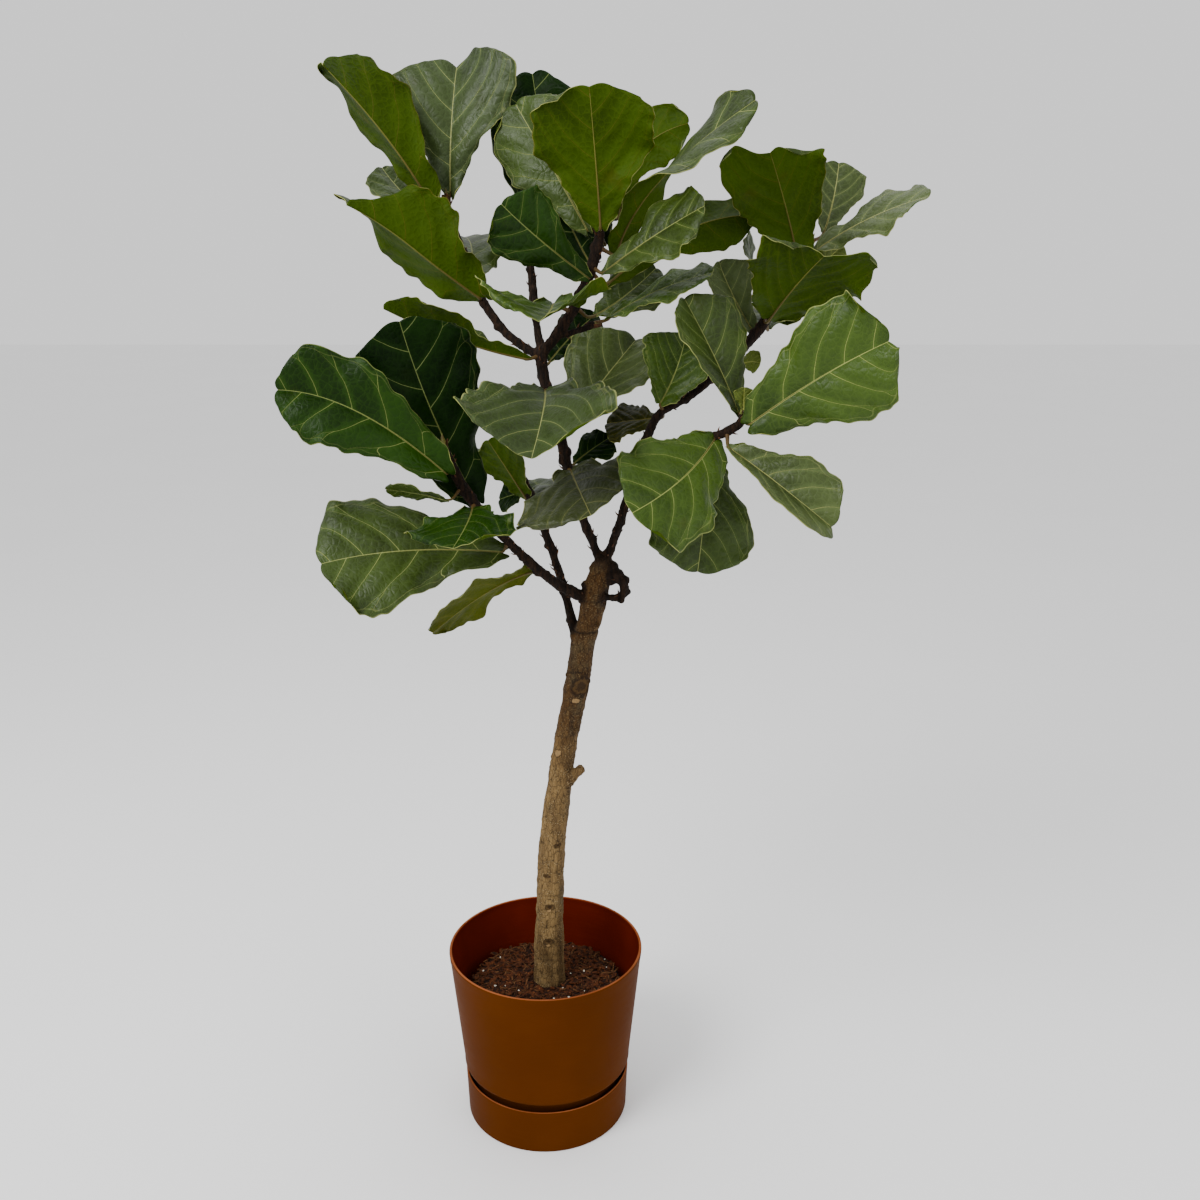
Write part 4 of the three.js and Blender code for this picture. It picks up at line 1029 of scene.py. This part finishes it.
def build_bark(settings, material):
    """All stems, knots and lumps welded into one skin by a voxel remesh, then weathered."""
    dice = random.Random(settings.seed)
    bm = bmesh.new()
    for name, stem in STEMS.items():
        path = smooth_path(stem, 5 * MM)
        radii = [p.w * (1 + 0.08 * noise.noise(p.xyz * 45)) for p in path]
        bar(bm, [p.xyz for p in path], radii, settings.sides)
        if name not in OLD_STEMS:
            add_knots(bm, path, dice)
    for *spot, size in TORN:
        add_ball(bm, Vector(spot) * MM, None, size, MM)
    mesh = bpy.data.meshes.new("bark_rough")
    bm.to_mesh(mesh)
    bm.free()
    rough = bpy.data.objects.new("bark_rough", mesh)
    bpy.context.scene.collection.objects.link(rough)
    remesh = rough.modifiers.new("weld", "REMESH")
    remesh.mode, remesh.voxel_size = "VOXEL", settings.voxel
    even = rough.modifiers.new("even", "SMOOTH")
    even.factor, even.iterations = 0.5, 3
    solid = bpy.data.meshes.new_from_object(rough.evaluated_get(bpy.context.evaluated_depsgraph_get()))
    bpy.data.objects.remove(rough)
    bm = bmesh.new()
    bm.from_mesh(solid)
    bpy.data.meshes.remove(solid)
    weather_bark(bm)
    add_piece(bm, "tree_bark", [material], ("tree",))


def turned_from(angle, turn):
    """How far a direction in radians is from a turn in degrees, in radians from -pi to pi."""
    return (angle - math.radians(turn) + math.pi) % TAU - math.pi


def nearness(spot, scars, path):
    """How near a place on the trunk is to the middle of a scar: 1 at the middle, 0 outside them all."""
    near = 0.0
    for up, turn, width, height in scars:
        if abs(spot.z - up * MM) > height * MM:
            continue
        centre = min(path, key=lambda p: abs(p.z - up * MM))
        across = turned_from(math.atan2(spot.x - centre.x, centre.y - spot.y), turn)
        across *= centre.w / (width * MM / 2)
        upward = (spot.z - up * MM) / (height * MM / 2)
        ragged = 1 + 0.4 * noise.noise(spot * 90) + 0.25 * noise.noise(spot * 260)
        near = max(near, 1.15 - math.hypot(across, upward) * ragged)
    return min(1.0, near)


def ring_scar(spot, axis):
    """How deep in a ring scar a place on the trunk is, from 0 to 1."""
    angle = math.atan2(spot.x - axis.x, axis.y - spot.y)
    sag = 2.2 * MM * noise.noise(spot * 40)
    deep = 0.0
    for up, turn, wide, dark in RINGS:
        off = abs(turned_from(angle, turn)) / math.radians(wide / 2)
        shown = dark * (1.0 if wide == 360 else float(1 - smooth((off - 0.6) / 0.4)))
        deep = max(deep, shown * float(bell((spot.z + sag - up * MM) / (1.5 * MM))))
    return deep


def weather_bark(bm):
    """Displaces the bark by its ridges, rings and scars, and stores its age, rings and scars."""
    samples = stem_samples()
    tree = kdtree.KDTree(len(samples))
    for i, (spot, _) in enumerate(samples):
        tree.insert(spot, i)
    tree.balance()
    bm.normal_update()
    layers = [bm.verts.layers.float.new(name) for name in ("age", "ring", "scar", "pale")]
    path = smooth_path(STEMS["trunk"], 4 * MM)
    for v in bm.verts:
        found = [samples[i] for _, i, _ in tree.find_n(v.co, 5)]
        age = sum(old for _, old in found) / len(found)
        ring = scar = pale = swell = 0.0
        if age > TWIG_AGE + 0.05:
            ring = ring_scar(v.co, found[0][0])
            scar, pale = nearness(v.co, SCARS, path), nearness(v.co, PALE_SCARS, path)
            swell = sum(high * float(bell((v.co.z / MM - up) / reach)) for up, high, reach in SWELLINGS)
        ridge = noise.noise(Vector((v.co.x * 170, v.co.y * 170, v.co.z * 40)))
        wart = max(0.0, noise.noise(v.co * 190) - 0.1)
        rough = 0.55 * ridge + 0.9 * noise.noise(v.co * 75) + 1.4 * wart
        lip = 1.7 * float(bell((scar - 0.3) / 0.16)) - 1.2 * max(0.0, scar - 0.45)
        v.co += v.normal * (rough + swell - 0.9 * ring + lip + 1.2 * float(smooth(pale * 2))) * MM
        for layer, value in zip(layers, (age, ring, scar, pale)):
            v[layer] = value


def build_buds(settings, materials):
    """A pointed bud at each twig's end in torn sheaths, and dry thorns along the twigs."""
    dice = random.Random(settings.seed + 1)
    bm = bmesh.new()
    for name in BUDS:
        end, before = (Vector(STEMS[name][k][:3]) * MM for k in (-1, -2))
        heading = (end - before).normalized()
        long = settings.bud_length * dice.uniform(*BUD_SIZE)
        bend = heading.orthogonal() * long * dice.uniform(-BUD_BEND, BUD_BEND)
        path = [end - heading * BUD_SUNK * MM + heading * long * k + bend * k * k for k, _ in BUD_SHAPE]
        bar(bm, path, [r * settings.bud_radius for _, r in BUD_SHAPE], 12)
        for _ in range(dice.randint(*SHEATHS)):
            foot = end - heading * dice.uniform(*SHEATH_BACK) * MM
            add_sheath(bm, foot, heading, settings.bud_radius, dice)
    for name, stem in STEMS.items():
        if name not in OLD_STEMS:
            add_thorns(bm, smooth_path(stem, 3 * MM), settings.thorns, dice)
    add_piece(bm, "buds", materials)


def add_sheath(bm, foot, heading, radius, dice):
    """A curled dry scale that stands off its twig."""
    made = bmesh.ops.create_grid(bm, x_segments=5, y_segments=6, size=0.5)["verts"]
    turn = heading.to_track_quat("Z", "Y").to_matrix() @ Matrix.Rotation(dice.uniform(0, TAU), 3, "Z")
    long, lean = dice.uniform(*SHEATH_LENGTH) * MM, dice.uniform(*SHEATH_LEAN)
    for v in made:
        x, y = v.co.x * 2, v.co.y + 0.5
        angle = x * 1.1 * (1 - 0.8 * y * y)
        out = radius * (1.15 + lean * y * 2)
        v.co = foot + turn @ Vector((math.sin(angle) * out, math.cos(angle) * out, y * long))
    faces = list(faces_at(made))
    shell = bmesh.ops.solidify(bm, geom=faces, thickness=0.5 * MM)["geom"]
    for face in faces + [g for g in shell if isinstance(g, bmesh.types.BMFace)]:
        face.material_index = SHEATH_SLOT


def add_thorns(bm, path, share, dice):
    """Short dry points that lean off a twig, at that share of the path's points."""
    for here, onward in zip(path, path[1:]):
        if dice.random() > share:
            continue
        heading = (onward.xyz - here.xyz).normalized()
        across = sideways_from(heading, dice.uniform(0, TAU))
        long = dice.uniform(*THORN_LENGTH) * MM
        lean = (across + heading * dice.uniform(*THORN_LEAN)).normalized()
        foot = here.xyz + across * here.w * 0.8
        tip = foot + lean * long + heading * 0.3 * long
        middle = foot.lerp(tip, 0.5) + across * 0.1 * long
        rings = bar(bm, (foot, middle, tip), [r * MM for r in THORN_RADII], 5)
        for face in faces_at(v for ring in rings for v in ring):
            face.material_index = SHEATH_SLOT


# ---------------------------------------------------------------- pots and soil


def add_pot(profile, steps, name, materials, node, lip_z):
    """A turned pot. Where it has three materials, the second, the plastic with painted shade, goes on
    the faces that look towards the Z axis, and the third, with a painted highlight, goes on the lip."""
    bm = bmesh.new()
    spin_profile(bm, profile, steps)
    piece = add_piece(bm, name, materials, (node,))
    if len(materials) == 1:
        return
    for face in piece.data.polygons:
        # The lip gets the plastic with a painted highlight, and the inward faces get the one with
        # painted shade.
        if face.center.z > lip_z * MM:
            face.material_index = LIP_SLOT
        elif face.normal.xy.dot(face.center.xy) < 0:
            face.material_index = INSIDE_SLOT


def build_pots(settings, plastics, black):
    """The planter, its saucer and the nursery pot, each turned from one closed profile."""
    floor_z = SAUCER["floor"] + SEAT_GAP
    rim, height, wall, lip, shoulder, shoulder_z, foot, foot_z = POT.values()
    add_pot([
        (0, floor_z), (foot - 7, floor_z), (foot - 5, floor_z + 2), (foot - 1, foot_z - 3),
        (foot, foot_z - 1),
        *arc(shoulder - SHOULDER_ROUND, foot_z + SHOULDER_ROUND, SHOULDER_ROUND, -80, 0, 10),
        *between((shoulder, shoulder_z), (rim - 1.5, height - 3 * lip), 16),
        (rim - 1.5, height - 3 * lip), (rim - 0.6, height - 2.2 * lip),
        *arc(rim - lip / 2, height - lip / 2, lip / 2, -20, 200, 14),
        (rim - 1.5 - wall, height - 3 * lip), (shoulder - wall, shoulder_z + 4),
        (foot - wall, foot_z + 2), (foot - 5 - wall, floor_z + wall), (0, floor_z + wall),
    ], settings.steps, "planter_shell", plastics, "planter", height - LIP_SHARE * lip)

    top, base, height, wall, floor = SAUCER.values()
    add_pot([
        (0, 0), (base - 2, 0), *arc(base - 1.5, 1.5, 1.5, -80, -10, 4),
        *between((base, 1.5), (top - 0.2, height - 6), 8),
        (top, height - 5), *arc(top - wall / 2, height - wall / 2, wall / 2, 0, 180, 10),
        (base - wall, floor), (0, floor),
    ], settings.steps, "saucer_shell", plastics, "saucer", height - LIP_SHARE * wall)

    floor_z += POT["wall"] + SEAT_GAP
    rim, base, rim_z, wall = NURSERY.values()
    add_pot([
        (0, floor_z), (base - 2, floor_z), (base, floor_z + 2), (rim, rim_z - 8),
        (rim + 2, rim_z - 8),
        *arc(rim + 1, rim_z - 1, 1, 0, 90, 4), *arc(rim - wall + 1, rim_z - 1, 1, 90, 180, 4),
        (base - wall, floor_z + wall), (0, floor_z + wall),
    ], settings.steps, "nursery_shell", [black], "nursery_pot", rim_z)


def soil_height(x, y):
    """Height of the soil's surface in mm at a place in mm."""
    share = math.hypot(x, y) / NURSERY["rim"]
    heap = SOIL["surface_z"] + SOIL["heap"] * (1 - share)
    spot = Vector((x, y, 7.0))
    waves = 3.2 * noise.noise(spot * 0.035) + 2.0 * noise.noise(spot * 0.11)
    return heap + waves + 0.9 * noise.noise(spot * 0.35)


def build_soil(settings, materials):
    """The heaped soil, and loose chips, fibres and perlite on it out to the nursery pot's rim."""
    dice = random.Random(settings.seed)
    floor_z = SAUCER["floor"] + POT["wall"] + NURSERY["wall"] + 3 * SEAT_GAP
    edge = NURSERY["rim"] - NURSERY["wall"] - SOIL_EDGE
    surface = SOIL["surface_z"]
    low, high = ((edge - inward, surface - down) for inward, down in SOIL_SIDE)
    bm = bmesh.new()
    spin_profile(bm, [
        (0, floor_z), (NURSERY["base"] - 4, floor_z), low,
        *between(high, (0, surface), SOIL_RINGS), (0, surface),
    ], SOIL_STEPS)
    for v in bm.verts:
        if v.co.z > (surface - SOIL_LOOSE) * MM:
            v.co.z = min(soil_height(v.co.x / MM, v.co.y / MM), surface + SOIL_HIGHEST) * MM
    add_piece(bm, "soil_bed", materials[:1], ("soil",))
    bm = bmesh.new()
    for kind, (amount, small, large, wide, high) in enumerate(LITTER):
        for _ in range(getattr(settings, amount)):
            far, turn = (NURSERY["rim"] + 1) * math.sqrt(dice.random()), dice.uniform(0, TAU)
            x, y = far * math.cos(turn), far * math.sin(turn)
            if math.hypot(x - TRUNK_X, y) < TRUNK_CLEARING:
                continue
            size = dice.uniform(small, large) * MM
            look = Matrix.Identity(4)
            for low, top, axis in LITTER_TURNS:
                look = look @ Matrix.Rotation(dice.uniform(low, top), 4, axis)
            across, thick = (size * share * dice.uniform(*LITTER_SHAPES) for share in (wide, high))
            shape = Matrix.Diagonal((size, across, thick, 1))
            ground = max(soil_height(x, y), NURSERY["rim_z"] if far > edge else 0) * MM
            place = Matrix.Translation((x * MM, y * MM, ground + size * high * 0.3)) @ look @ shape
            made = bmesh.ops.create_icosphere(bm, subdivisions=1, radius=1, matrix=place)["verts"]
            for v in made:
                v.co += Vector([dice.uniform(-LITTER_JAGS, LITTER_JAGS) * size * wide for _ in range(3)])
            for face in faces_at(made):
                face.material_index = kind
    add_piece(bm, "soil_grains", materials[1:]).data.shade_flat()


# ---------------------------------------------------------------- settings, operators, panel


class FIG_PG_settings(bpy.types.PropertyGroup):
    """Sizes of the plant's fine shapes, and its main colours."""

    seed: IntProperty(name="Seed", description="Start of the random draws", default=7, min=0)
    thickness: FloatProperty(
        name="Blade thickness", description="Thickness of a leaf blade", default=0.0008, unit="LENGTH")
    relief: FloatProperty(
        name="Quilting", description="Height of the blade between two veins", default=0.0026,
        unit="LENGTH")
    columns: IntProperty(
        name="Columns", description="Faces across a large blade", default=36, min=8)
    rows: IntProperty(name="Rows", description="Faces along a large blade", default=60, min=12)
    small_width: FloatProperty(
        name="Small blade", description="Blades narrower than this have fewer faces", default=0.06,
        unit="LENGTH")
    stalk_sides: IntProperty(
        name="Stalk sides", description="Faces round a leaf stalk", default=10, min=5)
    sides: IntProperty(name="Stem sides", description="Faces round a stem", default=20, min=6)
    voxel: FloatProperty(
        name="Bark grain", description="Size of the bark's faces", default=0.0021, unit="LENGTH")
    bud_length: FloatProperty(
        name="Bud length", description="Length of the buds", default=0.022, unit="LENGTH")
    bud_radius: FloatProperty(
        name="Bud radius", description="Radius of the buds", default=0.0036, unit="LENGTH")
    thorns: FloatProperty(
        name="Thorns", description="Share of a twig's points that have a thorn", default=0.3,
        min=0, max=1, subtype="FACTOR")
    steps: IntProperty(name="Pot steps", description="Faces round the pots", default=160, min=24)
    chips: IntProperty(
        name="Bark chips", description="Bark chips on the soil", default=1100, min=0)
    fibres: IntProperty(
        name="Fibres", description="Thin fibres on the soil", default=420, min=0)
    perlite: IntProperty(
        name="Perlite", description="White grains on the soil", default=34, min=0)
    planter_dark: FloatVectorProperty(
        name="Planter, dark", description="Darker tone of the plastic", size=4, min=0, max=1,
        default=colour(*PLASTICS["planter_outside"][0]), subtype="COLOR")
    planter_light: FloatVectorProperty(
        name="Planter, light", description="Lighter tone of the plastic", size=4, min=0, max=1,
        default=colour(*PLASTICS["planter_outside"][1]), subtype="COLOR")
    soil_dark: FloatVectorProperty(
        name="Soil, dark", description="Darker tone of the soil", size=4, min=0, max=1,
        default=colour(*EARTHS["soil_mix"][0]), subtype="COLOR")
    soil_light: FloatVectorProperty(
        name="Soil, light", description="Lighter tone of the soil", size=4, min=0, max=1,
        default=colour(*EARTHS["soil_mix"][1]), subtype="COLOR")
    trunk_dark: FloatVectorProperty(
        name="Trunk, dark", description="Darker tone of the trunk's foot", size=4, min=0, max=1,
        default=colour(*TRUNK_TONES[0]), subtype="COLOR")
    trunk_light: FloatVectorProperty(
        name="Trunk, light", description="Lighter tone of the trunk's foot", size=4, min=0, max=1,
        default=colour(*TRUNK_TONES[1]), subtype="COLOR")
    leaf_dark: FloatVectorProperty(
        name="Leaves, dark", description="Darker tone of grown leaves", size=4, min=0, max=1,
        default=colour(*UPPER_SIDES["grown"][0]), subtype="COLOR")
    leaf_light: FloatVectorProperty(
        name="Leaves, light", description="Lighter tone of grown leaves", size=4, min=0, max=1,
        default=colour(*UPPER_SIDES["grown"][1]), subtype="COLOR")


class FIG_PG_stage(bpy.types.PropertyGroup):
    """The camera and the lights."""

    camera: FloatVectorProperty(
        name="Camera", description="Place of the camera", default=(0.0835, -1.696, 1.329),
        unit="LENGTH", subtype="TRANSLATION")
    pitch: FloatProperty(
        name="Pitch", description="How far the camera looks down", default=math.radians(16.39),
        subtype="ANGLE")
    lens: FloatProperty(
        name="Lens", description="Focal length in mm for a 36 mm sensor", default=37.5)
    key_power: FloatProperty(
        name="Key", description="Power of the key light in watts", default=95.0)
    fill_power: FloatProperty(
        name="Fill", description="Power of the fill light in watts", default=14.0)
    sky: FloatProperty(
        name="Sky", description="Brightness of the surroundings", default=1.05)
    sky_colour: FloatVectorProperty(
        name="Sky colour", description="Colour of the surroundings", size=4, min=0, max=1,
        default=(1, 1, 1, 1), subtype="COLOR")


def with_tones(table, row, dark, light):
    """The table, with the first two tones of one row from the settings."""
    return {**table, row: (dark, light, *table[row][2:])}


class FIG_OT_pots(bpy.types.Operator):
    """Turn the planter, its saucer and the nursery pot"""

    bl_idname = "fig.pots"
    bl_label = "Pots"

    def execute(self, context):
        settings = context.scene.fig
        table = with_tones(PLASTICS, "planter_outside", settings.planter_dark, settings.planter_light)
        # The outside's plastic, then a copy with painted shade for the insides and one with a painted
        # highlight for the lips.
        plastics = [planter_shader(name, *tones) for name, tones in table.items()]
        build_pots(settings, plastics, nursery_shader())
        return {"FINISHED"}


class FIG_OT_soil(bpy.types.Operator):
    """Heap the soil with its bark chips and perlite"""

    bl_idname = "fig.soil"
    bl_label = "Soil"

    def execute(self, context):
        settings = context.scene.fig
        table = with_tones(EARTHS, "soil_mix", settings.soil_dark, settings.soil_light)
        build_soil(settings, [earth_shader(name, *looks) for name, looks in table.items()])
        return {"FINISHED"}


class FIG_OT_bark(bpy.types.Operator):
    """Weld the stems into one bark with scars, rings and knots"""

    bl_idname = "fig.bark"
    bl_label = "Bark"

    def execute(self, context):
        settings = context.scene.fig
        build_bark(settings, bark_shader(settings.trunk_dark, settings.trunk_light))
        return {"FINISHED"}


class FIG_OT_buds(bpy.types.Operator):
    """Set a bud and dry sheaths at each twig's end"""

    bl_idname = "fig.buds"
    bl_label = "Buds"

    def execute(self, context):
        build_buds(context.scene.fig, [bud_shader(), sheath_shader()])
        return {"FINISHED"}


class FIG_OT_leaves(bpy.types.Operator):
    """Grow every leaf with its stalk, veins and waved edge"""

    bl_idname = "fig.leaves"
    bl_label = "Leaves"

    def execute(self, context):
        settings = context.scene.fig
        palettes = with_tones(UPPER_SIDES, "grown", settings.leaf_dark, settings.leaf_light)
        # A material for each row of upper sides. The rows besides grown, young and fading hold painted
        # light, shade and sheen.
        uppers = {
            tone: blade_shader(f"blade_{tone}", palette, True, SHINES.get(tone, LEAF_SHINE))
            for tone, palette in palettes.items()
        }
        # The undersides' yellow olive is partly their own colour and partly a painted glow of light
        # shining through.
        unders = [
            blade_shader(name, palette, False, UNDER_SHINE) for name, palette in UNDERSIDES.items()
        ]
        others = [rim_shader(), stalk_shader()]
        tone_of = {number: tone for tone, numbers in TONES.items() for number in numbers}
        for number, leaf in leaf_rows().items():
            dice = random.Random(settings.seed * 1000 + number)
            upper = uppers[tone_of.get(number, "grown")]
            lower = unders[number in OLIVE_BELOW]
            build_leaf(number, leaf, settings, [upper, lower, *others], dice)
        return {"FINISHED"}


class FIG_OT_stage(bpy.types.Operator):
    """Set the floor, the lights and the camera"""

    bl_idname = "fig.stage"
    bl_label = "Stage"

    def execute(self, context):
        stage, scene = context.scene.fig_stage, context.scene
        bm = bmesh.new()
        bmesh.ops.create_grid(bm, x_segments=1, y_segments=1, size=FLOOR_SIZE)
        mesh = bpy.data.meshes.new("floor")
        bm.to_mesh(mesh)
        bm.free()
        mesh.materials.append(floor_shader())
        floor = bpy.data.objects.new("floor", mesh)
        floor.location.z = -FLOOR_DROP
        scene.collection.objects.link(floor)
        world = bpy.data.worlds.new("studio")
        world.use_nodes = True
        background = world.node_tree.nodes["Background"]
        background.inputs["Color"].default_value = stage.sky_colour
        background.inputs["Strength"].default_value = stage.sky
        scene.world = world
        for name, (spot, size, power) in LAMPS.items():
            data = bpy.data.lights.new(name, "AREA")
            data.shape, data.size, data.energy = "DISK", size, getattr(stage, power)
            lamp = bpy.data.objects.new(name, data)
            lamp.location = spot
            aim = Vector(LAMP_TARGET) - Vector(spot)
            lamp.rotation_euler = aim.to_track_quat("-Z", "Y").to_euler()
            scene.collection.objects.link(lamp)
        data = bpy.data.cameras.new("camera")
        data.lens, data.sensor_width = stage.lens, SENSOR_WIDTH
        data.clip_start, data.clip_end = 0.05, 100
        camera = bpy.data.objects.new("camera", data)
        camera.location = stage.camera
        camera.rotation_euler = (math.pi / 2 - stage.pitch, 0, 0)
        scene.collection.objects.link(camera)
        scene.camera = camera
        return {"FINISHED"}


class FIG_PT_panel(bpy.types.Panel):
    """Buttons for every step, and the settings"""

    bl_idname = "FIG_PT_panel"
    bl_label = "Fiddle leaf fig"
    bl_space_type = "VIEW_3D"
    bl_region_type = "UI"
    bl_category = "Plant"

    def draw(self, context):
        for operator in OPERATORS:
            self.layout.operator(operator.bl_idname)
        for group in (context.scene.fig, context.scene.fig_stage):
            for name in group.__annotations__:
                self.layout.prop(group, name)


OPERATORS = (FIG_OT_pots, FIG_OT_soil, FIG_OT_bark, FIG_OT_buds, FIG_OT_leaves, FIG_OT_stage)
CLASSES = (FIG_PG_settings, FIG_PG_stage, *OPERATORS, FIG_PT_panel)


def register():
    for cls in CLASSES:
        bpy.utils.register_class(cls)
    bpy.types.Scene.fig = PointerProperty(type=FIG_PG_settings)
    bpy.types.Scene.fig_stage = PointerProperty(type=FIG_PG_stage)


def unregister():
    del bpy.types.Scene.fig_stage
    del bpy.types.Scene.fig
    for cls in reversed(CLASSES):
        bpy.utils.unregister_class(cls)


def main():
    register()
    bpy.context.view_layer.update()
    bpy.ops.fig.pots()
    bpy.ops.fig.soil()
    bpy.ops.fig.bark()
    bpy.ops.fig.buds()
    bpy.ops.fig.leaves()
    bpy.ops.fig.stage()


if __name__ == "__main__":
    main()
